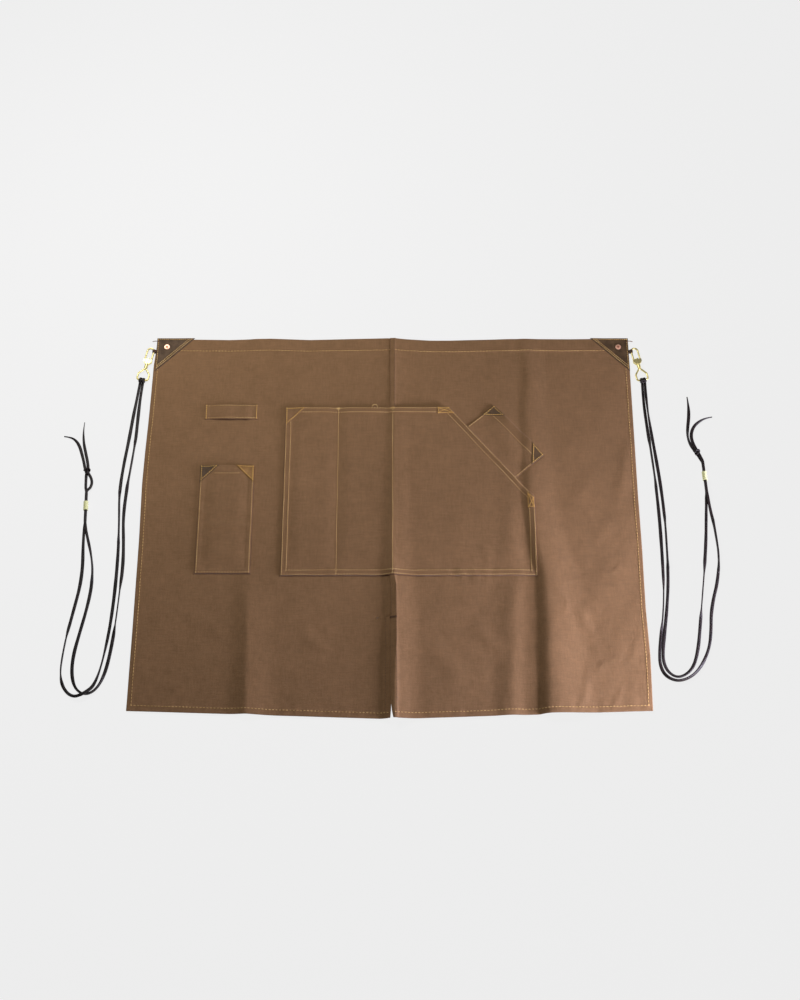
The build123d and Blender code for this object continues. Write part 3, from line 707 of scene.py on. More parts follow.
def sway(x, y):
    """The apron isn't cut or laid quite square: its borders wander by a few millimetres."""
    left = np.interp(-y, [-344, -326, -290, -230, -175, -118, -62, 40, 200, 327],
                     [0, -0.2, -2.8, -3.6, -4.7, -6.4, -7.2, -5.2, -4.6, -4.8])
    right = np.interp(-y, [-344, -200, -40, 60, 160, 240, 327], [0, -0.6, -1.6, -1.0, -2.2, -0.2, -2.0])
    near_left = np.clip(-(x + 90) / (half_width - 90), 0, 1) ** 2
    near_right = np.clip((x - 90) / (half_width - 90), 0, 1) ** 2
    top = np.interp(x, [-410, -392, -353, -284, -214, -144, -74, -8, 30, 65, 100, 150, 205, 309, 370,
                        392, 410],
                    [0, 0, -2.2, -3.4, -0.6, -3.2, -1.4, 0.4, -2.2, -4.4, -4.4, -3.0, -1.4, -1.6, -1.0, 0, 0])
    near_top = np.clip((y - 225) / 118, 0, 1) ** 1.5
    return x + left * near_left + right * near_right, y + top * near_top


def make_panel(side):
    if side == "left":
        xs = ticks(left_edge, lap + 2.5, 4.2, left_edge + side_hem, -lap, fine=1.0, reach=2.0)
    else:
        xs = ticks(-lap, right_edge, 4.2, right_edge - side_hem, lap, fine=1.0, reach=2.0)
    span = waist_y - hem_mid
    ys = np.unique(np.concatenate([np.linspace(0, 1, 165), np.array([0.3, 0.9, 2.2, 8.8, 10, 11.2]) / span,
                                   1 - np.array([0.3, 0.9, 2.2, 23.8, 25, 26.2]) / span]))
    x, t = np.meshgrid(xs, ys)
    hem = hem_y(x)
    y = hem + (waist_y - hem) * t
    below = np.clip((vent_top - y) / (vent_top - hem_mid), 0, 1)
    gape = below ** 10
    shift = seam_shift(y)
    if side == "left":
        # below the vent's top the panel ends at the slit instead of running on under the lap
        reach = shift + np.where(y > vent_top, lap + 2.5, -lap + 1.5 - 1.8 * gape)
        share = (x - left_edge) / (lap + 2.5 - left_edge)
        x = left_edge + (reach - left_edge) * share
        inward = np.minimum(np.minimum(x - left_edge, reach - x), np.minimum(y - hem, waist_y - y))
        under = ease((x - shift + lap + 1.2) / 1.4) * (1 - gape)
    else:
        start = -lap + shift + 4.6 * gape
        share = (x + lap) / (right_edge + lap)
        x = start + (right_edge - start) * share
        inward = np.minimum(np.minimum(right_edge - x, x - start), np.minimum(y - hem, waist_y - y))
        under = 0.0
    z = ground(x, y)
    if side == "left":
        z = z - under * (cloth_t + 0.25 + 0.9 * seam_band(x, y))
    z = z - rounded(inward) * (1 - under)
    thick = cloth_t + (cloth_t - 0.1) * hem_band(x, y) * (1 - under) - 2 * rounded(inward, 0.4)
    thick = np.minimum(np.maximum(thick, 0.45), z - 0.02)
    px, py = sway(x, y)
    front = np.stack([px, py, z], -1)
    back = np.stack([px, py, z - thick], -1)
    panel = closed_sheet(f"{side}_canvas_panel", front, back, "apron", canvas_cloth)
    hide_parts(f"{side}_panel")
    return panel


panels = {side: make_panel(side) for side in SIDES}


def compartment(x, x0, x1, bank):
    return ease((x - x0) / bank) * ease((x1 - x) / bank)


def main_mouth(x):
    """The mouth's height at x: level, then down along the slant."""
    return np.where(x > slant_x, main_y1 - (x - slant_x) * (main_y1 - slant_y) / (main_x1 - slant_x), main_y1)


def main_top(x, y):
    """Height of the main pocket's face."""
    up = ease((y - main_y0 - 9) / 40)
    edges_x = [main_x0 + 9, *dividers, main_x1 - 9]
    puff = np.maximum.reduce([compartment(x, a, b, 20) * h for a, b, h in
                              zip(edges_x, edges_x[1:], (1.7, 1.7, 2.2))])
    mouth = main_mouth(x) - y
    at_mouth = 0.8 + 0.5 * ease(1 - mouth / 14)
    crinkle = 0.20 * np.sin(x / 3.3 + np.sin(x / 15)) * np.exp(-np.abs(y - main_y0 - 8) / 7)
    side = 0.16 * np.sin(y / 3.4 + np.sin(y / 18)) * np.exp(-np.abs(x - main_x0 - 7) / 5)
    line = 0.35 * (np.exp(-((x - dividers[0]) / 1.3) ** 2) + np.exp(-((x - dividers[1]) / 1.3) ** 2))
    band = 0.45 * (1 - ease((np.minimum.reduce([x - main_x0, main_x1 - x, y - main_y0, mouth]) - 9) / 1.6))
    cloth = ground(x, y) - 0.9 * seam_band(x, y) * 0.6 + cloth_t + 0.75
    return cloth + puff * up * at_mouth + crinkle + side + band - line


def make_main_pocket():
    xs = ticks(main_x0, main_x1, 4.0, main_x0 + 9, *dividers, main_x1 - 9, slant_x, fine=1.1, reach=2.2)
    t = np.unique(np.concatenate([np.linspace(0, 1, 84), np.array([0.3, 0.9, 2.2, 8.6, 10]) / 308.5,
                                  1 - np.array([0.3, 0.9, 2.2, 8.6, 10]) / 308.5]))
    x, t = np.meshgrid(xs, t)
    y = main_y0 + (main_mouth(x) - main_y0) * t
    slanting = x > slant_x
    fall = math.hypot(main_x1 - slant_x, main_y1 - slant_y) / (main_x1 - slant_x)
    from_mouth = (main_mouth(x) - y) / np.where(slanting, fall, 1)
    inward = np.minimum.reduce([x - main_x0, main_x1 - x, y - main_y0, from_mouth])
    z = main_top(x, y) - rounded(inward)
    thick = cloth_t + 0.7 - 2 * rounded(inward, 0.35)
    return x, y, z, np.maximum(thick, 0.5)


def pocket_piece(name, grid, node, material=canvas_cloth):
    x, y, z, thick = grid
    front, back = np.stack([x, y, z], -1), np.stack([x, y, z - thick], -1)
    piece = closed_sheet(name, front, back, "apron", material)
    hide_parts(node)
    return piece


main_cloth = pocket_piece("main_pocket_canvas", make_main_pocket(), "main_pocket")


def phone_top(x, y):
    puff = compartment(x, phone_x0 + 6, phone_x1 - 6, 22) * ease((y - phone_y0 - 6) / 30)
    mouth = phone_y1 - y
    creases = -1.3 * crest((y + 4 - 0.10 * (x + 275)) / 6, 0.2) * ease((x + 300) / 26) * ease((-232 - x) / 8)
    upper = crest((y - 20 + 0.20 * (x + 275)) / 5, 0.3)
    creases = creases - upper * ease((x + 318) / 10) * ease((-278 - x) / 20)
    band = 0.4 * (1 - ease((np.minimum.reduce([x - phone_x0, phone_x1 - x, y - phone_y0, mouth]) - 7) / 1.6))
    return ground(x, y) + cloth_t + 0.6 + puff * (1.5 + 0.6 * ease(1 - mouth / 20)) + creases + band


def make_phone_pocket():
    xs = ticks(phone_x0, phone_x1, 3.0, phone_x0 + 7, phone_x1 - 7, fine=1.1, reach=1.1)
    ys = ticks(phone_y0, phone_y1, 3.2, phone_y0 + 7, phone_y1 - 16, fine=1.1, reach=1.1)
    x, y = np.meshgrid(xs, ys)
    inward = lift_edges(x, y, phone_x0, phone_x1, phone_y0, phone_y1)
    return x, y, phone_top(x, y) - rounded(inward), np.maximum(cloth_t + 0.6 - 2 * rounded(inward, 0.35), 0.5)


phone_cloth = pocket_piece("phone_pocket_canvas", make_phone_pocket(), "phone_pocket")


def lean(u, v):
    """From the tool pocket's own axes, mouth along u and depth down v, to the apron's."""
    c, s = math.cos(tool_turn), math.sin(tool_turn)
    u = np.where(u > 0, u * 1.06, u)
    return tool_mouth[0] + u * c - v * s, tool_mouth[1] + u * s + v * c


def tool_top(u, v):
    half = tool_width / 2
    x, y = lean(u, v)
    puff = compartment(u, -half + 5, half - 5, 30) * ease((v + tool_open) / 34)
    corners = ease((np.abs(u) - half + 30) / 26) * ease((v + 26) / 24)
    return ground(x, y) + cloth_t + 0.15 + puff * (2.6 + 2.6 * ease((v + 16) / 16)) + corners * 1.0


def make_tool_pocket():
    half = tool_width / 2
    us = ticks(-half, half, 3.2, -half + 7, half - 7, fine=1.1, reach=1.1)
    vs = ticks(-tool_depth, 0, 3.2, -16, fine=1.1, reach=1.1)
    u, v = np.meshgrid(us, vs)
    inward = lift_edges(u, v, -half, half, -tool_depth, 0)
    x, y = lean(u, v)
    z = tool_top(u, v) - rounded(inward)
    return x, y, z, np.maximum(cloth_t - 2 * rounded(inward, 0.3), 0.5)


tool_cloth = pocket_piece("tool_pocket_canvas", make_tool_pocket(), "tool_pocket", canvas_leaning)


def loop_top(x, y):
    inward = np.minimum(x - loop_x0, loop_x1 - x)
    arch = ease((inward - 9) / 12) * (1.7 + 0.5 * np.sin(x / 6.5 + 0.8))
    return ground(x, y) + cloth_t + 0.2 + arch


def make_loop():
    xs = ticks(loop_x0, loop_x1, 2.6, loop_x0 + 12, loop_x1 - 12, fine=1.0, reach=1.0)
    ys = ticks(loop_y0, loop_y1, 2.0)
    x, y = np.meshgrid(xs, ys)
    inward = lift_edges(x, y, loop_x0, loop_x1, loop_y0, loop_y1)
    curl = 0.5 * np.sin((y - loop_y0) / (loop_y1 - loop_y0) * math.pi)
    thick = np.maximum(cloth_t + 0.5 - 2 * rounded(inward, 0.4), 0.5)
    return x, y, loop_top(x, y) + curl - rounded(inward), thick


loop_cloth = pocket_piece("utility_loop_canvas", make_loop(), "utility_loop")


# ---- leather on the cloth

def hide_patch(name, corners, top, thick, node, material, place=None, step=2.4):
    """A flat piece of leather over a surface. corners: a quadrilateral, the blunt tip counting as a side."""
    a, b, c, d = (np.array(p, float) for p in corners)
    count_u = max(6, round(np.linalg.norm(b - a) / step))
    count_v = max(6, round(np.linalg.norm(d - a) / step))

    def shares(count, size):
        rim = np.array([0.35, 1.0]) / max(size, 3)
        return np.unique(np.concatenate([np.linspace(0, 1, count), rim, 1 - rim]))

    s, t = np.meshgrid(shares(count_u, np.linalg.norm(b - a)), shares(count_v, np.linalg.norm(d - a)))
    s, t = s[..., None], t[..., None]
    flat = (a * (1 - s) + b * s) * (1 - t) + (d * (1 - s) + c * s) * t

    def inside(p, q):
        run = (q - p) / max(np.linalg.norm(q - p), 1e-6)
        return (flat[..., 1] - p[1]) * run[0] - (flat[..., 0] - p[0]) * run[1]

    inward = np.maximum(np.minimum.reduce([inside(a, b), inside(b, c), inside(c, d), inside(d, a)]), 0)
    x, y = flat[..., 0], flat[..., 1]
    z = top(x, y) + thick - rounded(inward, 0.35, 0.8)
    under = top(x, y) - 0.25
    if place:
        x, y = place(x, y)
    front, back = np.stack([x, y, z], -1), np.stack([x, y, under], -1)
    piece = closed_sheet(name, front, back, "apron", material)
    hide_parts(node)
    return piece


def triangle(corner, dx, dy, tip=0.5):
    """A right triangle in a corner as a quadrilateral, going round the way that faces up."""
    x, y = corner
    points = [(x, y), (x + dx, y), (x + dx - math.copysign(tip, dx), y + math.copysign(tip, dy)), (x, y + dy)]
    if dx * dy < 0:
        points = points[::-1]
    return points


for side, sign in SIDES.items():
    points = triangle((sign * (half_width - 0.2), waist_y - 0.2), -sign * corner_leg, -corner_leg)
    hide_patch(f"{side}_corner_leather", points, ground, corner_t, f"{side}_corner_patch", patch_hide)
hide_patch("main_pocket_corner_canvas", triangle((main_x0, main_y1), main_leg, -main_leg), main_top, patch_t,
           "main_pocket_corner_patch", canvas_cloth)
hide_patch("phone_pocket_left_leather", triangle((phone_x0, phone_y1), phone_leg, -phone_leg),
           phone_top, patch_t, "phone_pocket_left_patch", patch_hide)
hide_patch("phone_pocket_right_leather", triangle((phone_x1, phone_y1), -phone_leg, -phone_leg),
           phone_top, patch_t, "phone_pocket_right_patch", golden_hide)
hide_patch("tool_pocket_upper_leather", triangle((-tool_width / 2, 0), tool_leg, -tool_leg),
           tool_top, patch_t, "tool_pocket_upper_patch", patch_hide, lean)
hide_patch("tool_pocket_lower_leather", triangle((tool_width / 2, 0), -tool_leg, -tool_leg),
           tool_top, patch_t, "tool_pocket_lower_patch", patch_hide, lean)
slope = math.atan2(main_y1 - slant_y, main_x1 - slant_x)
tab_size, tab_reach = 13, 20
tab_dx, tab_dy = tab_size * math.cos(slope), tab_size * math.sin(slope)
upper_tab = [(slant_x - tab_reach, main_y1 - tab_size), (slant_x + tab_dx, main_y1 - tab_dy),
             (slant_x, main_y1), (slant_x - tab_reach, main_y1)]
lower_tab = [(main_x1 - tab_size, slant_y - tab_reach), (main_x1, slant_y - tab_reach),
             (main_x1, slant_y), (main_x1 - tab_dx, slant_y + tab_dy)]
hide_patch("slant_upper_leather", upper_tab, main_top, patch_t, "slant_mouth_upper_tab", canvas_cloth)
hide_patch("slant_lower_leather", lower_tab, main_top, patch_t, "slant_mouth_lower_tab", canvas_cloth)


# ---- stitching

def stitch_tree():
    """Stitches laid end to end along a path: Pitch apart, Length long and Thickness across."""
    tree = bpy.data.node_groups.new("Run of stitches", "GeometryNodeTree")
    face = tree.interface
    face.new_socket("Path", in_out="INPUT", socket_type="NodeSocketGeometry")
    for name, value in (("Pitch", 0.0040), ("Length", 0.0032), ("Thickness", 0.0007)):
        face.new_socket(name, in_out="INPUT", socket_type="NodeSocketFloat").default_value = value
    face.new_socket("Thread", in_out="INPUT", socket_type="NodeSocketMaterial")
    face.new_socket("Stitches", in_out="OUTPUT", socket_type="NodeSocketGeometry")
    add = tree.nodes.new
    source, result = add("NodeGroupInput"), add("NodeGroupOutput")
    curve, spaced = add("GeometryNodeMeshToCurve"), add("GeometryNodeResampleCurve")
    spaced.mode = "LENGTH"
    tangent, facing = add("GeometryNodeInputTangent"), add("FunctionNodeAlignRotationToVector")
    facing.axis = "Z"
    bead, shape = add("GeometryNodeMeshUVSphere"), add("GeometryNodeTransform")
    bead.inputs["Segments"].default_value, bead.inputs["Rings"].default_value = 6, 6
    bead.inputs["Radius"].default_value = 0.5
    size = add("ShaderNodeCombineXYZ")
    spread, solid = add("GeometryNodeInstanceOnPoints"), add("GeometryNodeRealizeInstances")
    dye, smooth = add("GeometryNodeSetMaterial"), add("GeometryNodeSetShadeSmooth")
    join = tree.links.new
    join(source.outputs["Path"], curve.inputs["Mesh"])
    join(curve.outputs[0], spaced.inputs["Curve"])
    join(source.outputs["Pitch"], spaced.inputs["Length"])
    join(spaced.outputs[0], spread.inputs["Points"])
    join(tangent.outputs[0], facing.inputs["Vector"])
    join(facing.outputs[0], spread.inputs["Rotation"])
    join(source.outputs["Thickness"], size.inputs[0])
    join(source.outputs["Thickness"], size.inputs[1])
    join(source.outputs["Length"], size.inputs[2])
    join(size.outputs[0], shape.inputs["Scale"])
    join(bead.outputs[0], shape.inputs["Geometry"])
    join(shape.outputs[0], spread.inputs["Instance"])
    join(spread.outputs[0], solid.inputs[0])
    join(solid.outputs[0], smooth.inputs["Geometry"])
    join(smooth.outputs[0], dye.inputs["Geometry"])
    join(source.outputs["Thread"], dye.inputs["Material"])
    join(dye.outputs[0], result.inputs[0])
    return tree


stitches = stitch_tree()


def sew(name, paths, dye, pitch=4.6, length=3.2, thickness=0.95):
    """Stitches along paths of points in millimetres, as one plain mesh."""
    points, links = [], []
    for path in paths:
        start = len(points)
        points += [tuple(np.array(p) * MM) for p in path]
        links += [(i, i + 1) for i in range(start, len(points) - 1)]
    guide = bpy.data.meshes.new(name + "_guide")
    guide.from_pydata(points, links, [])
    holder = bpy.data.objects.new(name, guide)
    bpy.context.scene.collection.objects.link(holder)
    modifier = holder.modifiers.new("stitches", "NODES")
    modifier.node_group = stitches
    values = {"Pitch": pitch * MM, "Length": length * MM, "Thickness": thickness * MM, "Thread": dye}
    for item in stitches.interface.items_tree:
        if item.in_out == "INPUT" and item.name in values:
            modifier[item.identifier] = values[item.name]
    seen = holder.evaluated_get(bpy.context.evaluated_depsgraph_get())
    mesh = bpy.data.meshes.new_from_object(seen)
    holder.modifiers.clear()
    bpy.data.objects.remove(holder)
    bpy.data.meshes.remove(guide)
    mesh.name = name
    if not mesh.materials:
        mesh.materials.append(dye)
    piece = bpy.data.objects.new(name, mesh)
    bpy.context.scene.collection.objects.link(piece)
    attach(piece, "apron")
    return piece


def seam(top, start, end, proud=0.12, place=None, moved=None, wobble=0.25, step=1.6):
    """A stitch line between two points on a surface, a little unsteady as sewing is."""
    run = math.dist(start, end)
    t = np.linspace(0, 1, max(3, round(run / step)))
    x = start[0] + (end[0] - start[0]) * t
    y = start[1] + (end[1] - start[1]) * t
    across = (-(end[1] - start[1]) / run, (end[0] - start[0]) / run)
    sway_by = wobble * np.sin(t * run / 19 + start[0] + start[1]) * np.sin(t * run / 47 + start[1])
    x, y = x + across[0] * sway_by, y + across[1] * sway_by
    z = top(x, y) + proud
    if place:
        x, y = place(x, y)
    if moved:
        x, y = moved(x, y)
    return list(zip(x, y, z))


def around(top, corners, proud=0.12, place=None, moved=None):
    return [seam(top, a, b, proud, place, moved) for a, b in zip(corners, corners[1:])]


def over(top, thick):
    return lambda x, y: top(x, y) + thick


hem_paths = [
    seam(ground, (left_edge + 44, waist_y - top_hem + 1.4), (-lap - 1, waist_y - top_hem + 1.4), moved=sway),
    seam(ground, (lap + 1, waist_y - top_hem + 1.4), (right_edge - 44, waist_y - top_hem + 1.4), moved=sway),
    seam(ground, (left_edge + side_hem - 1.3, waist_y - 62),
         (left_edge + side_hem - 1.3, hem_y(half_width) + 10), moved=sway),
    seam(ground, (right_edge - side_hem + 1.3, waist_y - 62),
         (right_edge - side_hem + 1.3, hem_y(half_width) + 10), moved=sway),
    seam(ground, (left_edge + 7, hem_y(half_width) + 8.6), (-lap - 2, hem_y(lap) + 8.6), moved=sway),
    seam(ground, (lap + 2, hem_y(lap) + 8.6), (right_edge - 7, hem_y(half_width) + 8.6), moved=sway),
]
lean_in = float(seam_shift(vent_top))
middle_paths = [
    seam(ground, (-lap + 1.4, waist_y - 3), (-lap + 1.4, main_y0 + 6)),
    seam(ground, (-lap + 1.4 + lean_in, main_y0 - 18), (-lap + 1.4 + lean_in, vent_top)),
    seam(ground, (lap - 1.2, waist_y - 3), (lap - 1.2, main_y0 + 6)),
    seam(ground, (lap - 0.8 + lean_in, main_y0 - 18), (lap - 0.4 + lean_in, vent_top)),
    seam(ground, (lap - 0.4 + lean_in, vent_top), (lap + 1.2 + lean_in, hem_mid + 9)),
    seam(ground, (-lap - side_hem + lean_in, vent_top - 2), (-lap - side_hem + lean_in, hem_mid + 9)),
]
sew("hem_stitching", hem_paths, brown_thread, 5.4, 3.8)
sew("middle_stitching", middle_paths, dark_thread, 4.6, 3.4, 0.7)


def inset(x0, x1, y0, y1, by):
    return [(x0 + by, y1), (x0 + by, y0 + by), (x1 - by, y0 + by), (x1 - by, y1)]


slant_unit = ((main_x1 - slant_x), -(main_y1 - slant_y))
slant_long = math.hypot(*slant_unit)
slant_unit = (slant_unit[0] / slant_long, slant_unit[1] / slant_long)
inner = (slant_unit[1], -slant_unit[0])      # from the slant into the pocket
pocket_paths = []
for by in (1.8, 9.2):
    left, right, low = main_x0 + by, main_x1 - by, main_y0 + by
    pocket_paths += around(main_top, [(left, main_y1 - 1), (left, low), (right, low),
                                      (right, slant_y - by * 0.4)])
    pocket_paths.append(seam(main_top, (main_x0 + 2, main_y1 - by), (slant_x - 1, main_y1 - by)))
    pocket_paths.append(seam(main_top, (slant_x + inner[0] * by, main_y1 + inner[1] * by),
                             (main_x1 + inner[0] * by, slant_y + inner[1] * by)))
for divider in dividers:
    pocket_paths.append(seam(main_top, (divider, main_y1 - 1), (divider + 0.4, main_y0 + 3), 0.35))
half = tool_width / 2
small_paths = around(phone_top, inset(phone_x0, phone_x1, phone_y0, phone_y1 - 1, 2.2))
small_paths.append(seam(phone_top, (phone_x0 + 26, phone_y1 - 14.5), (phone_x1 - 26, phone_y1 - 14.5)))
small_paths += around(tool_top, inset(-half, half, -tool_open - 18, -1, 2.2), place=lean)
small_paths.append(seam(tool_top, (-half + 16, -14.5), (half - 16, -14.5), place=lean))
small_paths += around(loop_top, [(loop_x0 + 2, loop_y1 - 2.4), (loop_x1 - 2, loop_y1 - 2.4)], proud=0.5)
small_paths += around(loop_top, [(loop_x0 + 2, loop_y0 + 2.4), (loop_x1 - 2, loop_y0 + 2.4)], proud=0.5)
sew("pocket_stitching", pocket_paths + small_paths, gold_thread)
# painted shadow: dark thread laid on the cloth just outside the pockets' edges and above the main pocket's
# mouth, standing in for the shade along these edges
painted_edge_shade = around(ground, [(main_x0 - 0.5, main_y1 - 2), (main_x0 - 0.5, main_y0 - 0.5),
                          (main_x1 + 0.5, main_y0 - 0.5), (main_x1 + 0.5, slant_y - 4)])
painted_edge_shade += around(ground, [(phone_x0 - 0.5, phone_y1 - 1), (phone_x0 - 0.5, phone_y0 - 0.5),
                           (phone_x1 + 0.5, phone_y0 - 0.5), (phone_x1 + 0.5, phone_y1 - 1)])
painted_edge_shade.append(seam(ground, (main_x0 + 1, main_y1 + 0.7), (slant_x, main_y1 + 0.7)))
sew("painted_edge_shade_lines", painted_edge_shade, dark_thread, 3.4, 3.1, 0.8)


def patch_paths(corner, dx, dy, top, thick, place=None, by=2.0):
    """Stitches along the two legs and the long side of a corner patch."""
    x, y = corner
    sx, sy = math.copysign(1, dx), math.copysign(1, dy)
    near = (x + sx * by, y + sy * by)
    far_x, far_y = (x + dx - sx * by * 2.4, y + sy * by), (x + sx * by, y + dy - sy * by * 2.4)
    return around(over(top, thick), [near, far_x, far_y, near], 0.15, place)


gold_paths = patch_paths((main_x0, main_y1), main_leg, -main_leg, main_top, patch_t)
gold_paths += patch_paths((phone_x0, phone_y1), phone_leg, -phone_leg, phone_top, patch_t)
gold_paths += patch_paths((phone_x1, phone_y1), -phone_leg, -phone_leg, phone_top, patch_t)
gold_paths += patch_paths((-half, 0), tool_leg, -tool_leg, tool_top, patch_t, lean)
gold_paths += patch_paths((half, 0), -tool_leg, -tool_leg, tool_top, patch_t, lean)
for x0 in (loop_x0 + 2.2, loop_x1 - 2.2):
    gold_paths.append(seam(loop_top, (x0, loop_y0 + 2), (x0, loop_y1 - 2), 0.5, step=1))
sew("patch_stitching", gold_paths, bright_thread, 3.6, 2.9, 1.3)

corner_paths = []
for side, sign in SIDES.items():
    corner_paths += patch_paths((sign * half_width, waist_y), -sign * corner_leg, -corner_leg, ground,
                                corner_t, by=2.4)
    reach = corner_leg - 11
    corner_paths.append(seam(over(ground, corner_t), (sign * (half_width - reach), waist_y - 3.4),
                             (sign * (half_width - 3.4), waist_y - reach), 0.15))
sew("corner_stitching", corner_paths, brown_thread, 3.4, 2.9, 1.0)


def bartack(top, start, end, width):
    """A dense zigzag where a mouth or slit ends."""
    count = max(6, round(math.dist(start, end) / 0.7))
    dx, dy = (end[0] - start[0]) / count, (end[1] - start[1]) / count
    size = math.hypot(dx, dy)
    nx, ny = -dy / size * width / 2, dx / size * width / 2
    lines = []
    for i in range(count + 1):
        x, y = start[0] + dx * i, start[1] + dy * i
        lines.append(seam(top, (x - nx, y - ny), (x + nx, y + ny), 0.35, wobble=0, step=1))
    return lines


tack_paths = bartack(ground, (-lap + 1.4, vent_top - 1), (lap + 3.6, vent_top - 1), 2.4)
sew("vent_bartack", tack_paths, dark_thread, 1.1, 1.2, 0.6)
tack_paths = bartack(main_top, (dividers[0] - 2.5, main_y1 - 2), (dividers[0] + 2.5, main_y1 - 2), 2.4)
tack_paths += bartack(main_top, (dividers[1] - 3.5, main_y1 - 2), (dividers[1] + 3.5, main_y1 - 2), 2.4)
sew("mouth_bartacks", tack_paths, gold_thread, 1.1, 1.2, 0.6)
tab = over(main_top, patch_t)
upper = [(slant_x - 18, main_y1 - 11), (slant_x - 18, main_y1 - 2), (slant_x - 1, main_y1 - 2),
         (slant_x + 6, main_y1 - 11), (slant_x - 18, main_y1 - 11)]
lower = [(main_x1 - 11, slant_y + 6), (main_x1 - 2, slant_y - 2), (main_x1 - 2, slant_y - 18),
         (main_x1 - 11, slant_y - 18), (main_x1 - 11, slant_y + 6)]
cross = [[(slant_x - 17, main_y1 - 10), (slant_x - 2, main_y1 - 3)],
         [(slant_x - 17, main_y1 - 3), (slant_x + 3, main_y1 - 10)],
         [(main_x1 - 3, slant_y - 3), (main_x1 - 10, slant_y - 17)],
         [(main_x1 - 3, slant_y - 17), (main_x1 - 10, slant_y + 3)]]
tab_paths = around(tab, upper, 0.2) + around(tab, lower, 0.2) + [seam(tab, a, b, 0.5) for a, b in cross]
sew("slant_tab_stitching", tab_paths, bright_thread, 3.0, 2.7, 1.1)


# ---- leather and thread at the snaps, the knots and the loose ends

def by_snap(side, points):
    """From the snap's own axes, down its length along -Y, to the apron's."""
    x, y, z = np.asarray(points, float).T
    c, s = math.cos(snap_tilt), math.sin(snap_tilt)
    return np.stack([SIDES[side] * (bow[0] + x * c - y * s), bow[1] + x * s + y * c, bow[2] + z], -1)


def smooth_path(points, per=8, closed=False):
    """A rounded path through control points (Catmull-Rom)."""
    p = np.asarray(points, float)
    before, after = (p[-1:], p[:2]) if closed else (p[:1] * 2 - p[1:2], p[-1:] * 2 - p[-2:-1])
    q = np.concatenate([before, p, after])
    spans = len(p) if closed else len(p) - 1
    line = []
    for i in range(spans):
        a, b, c, d = q[i:i + 4]
        for t in np.arange(per) / per:
            square = (2 * a - 5 * b + 4 * c - d) * t * t
            cube = (3 * b - a - 3 * c + d) * t ** 3
            line.append(0.5 * (2 * b + (c - a) * t + square + cube))
    if not closed:
        line.append(p[-1])
    return np.array(line)


def swept(name, parts, body, finish):
    """One piece from several (line, across, section, closed) sweeps."""
    points, faces = [], []
    for line, across, section, closed in parts:
        more, quads = sweep(line, np.broadcast_to(np.asarray(across, float), line.shape), section, closed)
        faces += [tuple(i + len(points) for i in face) for face in outward(more, quads)]
        points += list(more)
    return make_mesh(name, points, faces, body, finish)


def round_section(radius, sides=8):
    angle = np.arange(sides) * 2 * math.pi / sides
    return np.stack([np.cos(angle), np.sin(angle)], -1) * radius


def ring_path(x, y_top, y_low, z_half, per=6):
    """Round the bar of the eye, in the snap's own axes."""
    return smooth_path([(x, y_top, 0), (x, y_top - z_half * 0.7, z_half), (x, y_low + 1, z_half * 0.9),
                        (x, y_low, 0), (x, y_low + 1, -z_half * 0.9),
                        (x, y_top - z_half * 0.7, -z_half)], per, True)


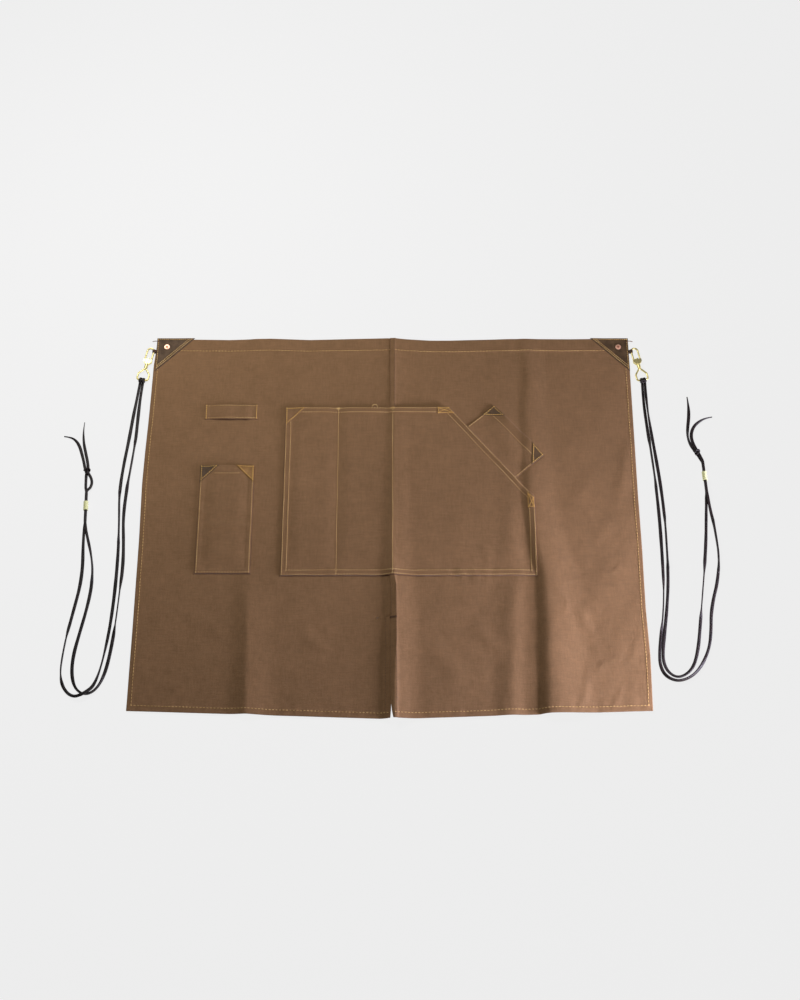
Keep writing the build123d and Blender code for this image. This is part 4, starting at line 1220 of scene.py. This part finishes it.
for side, sign in SIDES.items():
    # the lace's lark's head: two turns over the bar, held by the bight across their front
    wide = by_snap(side, [(0, 0, 0), (1, 0, 0)])
    wide = wide[1] - wide[0]
    parts = []
    for x in (-2.55, 2.45):
        parts.append((by_snap(side, ring_path(x, -54.6, -62.8, 2.35)), wide, strap_section(4.3, 1.7), True))
    bight = smooth_path([(-5.0, -59.9, 0), (-4.3, -59.6, 2.6), (0, -59.3, 3.6), (4.2, -59.6, 2.6),
                         (5.0, -59.9, 0),
                         (4.2, -60.1, -2.1), (0, -60.2, -2.5), (-4.3, -60.1, -2.1)], 6, True)
    down = by_snap(side, [(0, 0, 0), (0, 1, 0)])
    parts.append((by_snap(side, bight), down[1] - down[0], strap_section(3.6, 1.4), True))
    hitch = swept(f"{side}_larks_head", parts, f"{side}_eye", lace_hide)
    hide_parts(f"{side}_lace_hitch")

    # the knot that ties the two strands
    low, high = edges(f"{side}_knot")
    middle = np.array([(a + b) / 2 for a, b in zip(low, high)])
    turn = np.arange(54) * 2 * math.pi / 54
    loop = np.stack([(np.sin(turn) + 2 * np.sin(2 * turn)) * 1.62,
                     (np.cos(turn) - 2 * np.cos(2 * turn)) * 1.55,
                     -np.sin(3 * turn) * 1.9], -1) + middle + (0, 0, -0.3)
    wide = np.stack([np.cos(turn) * 0.5, np.sin(turn) * 0.5, np.ones_like(turn)], -1)
    knot = swept(f"{side}_lace_knot", [(loop, wide, strap_section(3.8, 1.9), True)], f"{side}_snap",
                 lace_hide)
    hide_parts(f"{side}_knot")

    # the leather loop that holds the snap's bow, let into the hem
    near = bow[0] - 5.7
    bend = [(near + 2.25 * math.cos(a), 3.2 + 2.25 * math.sin(a)) for a in np.radians([-90, -45, 0, 45, 90])]
    profile = [(403.5, 0.75), (409, 0.75), (412, 0.85), *bend, (411.9, 4.3), (410.6, 2.9), (409.9, 1.9)]
    line = smooth_path([(sign * x, bow[1], z) for x, z in profile], 6)
    band = swept(f"{side}_snap_loop_leather", [(line, (0, 1, 0), strap_section(6.0, 1.1, 0.3), False)],
                 "apron", tab_hide)
    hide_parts(f"{side}_hook_tab")

    # the thread's end, left long at the waist corner
    start = np.array([sign * (half_width - 4), waist_y - 7, face_z + 1.3])
    tail = smooth_path([start, start + (sign * 4, 0.6, 0.3), start + (sign * 7.5, 0.2, 0.8),
                        start + (sign * 11.5, -0.4, 0.2)], 6)
    swept(f"{side}_thread_tail", [(tail, (0, 1, 0.2), round_section(0.65, 6), False)], "apron",
          dark_thread)

loose = [(-34, 206.0), (-33.2, 208.6), (-31.0, 209.9), (-28.0, 209.7), (-26.4, 208.2), (-25.2, 205.6)]
loose = [(x, y, float(main_top(np.array(x), np.array(min(y, main_y1 - 1)))) + 0.8) for x, y in loose]
swept("loose_thread_loop", [(smooth_path(loose, 6), (0, 0, 1), round_section(0.42, 6), False)], "apron",
      gold_thread)
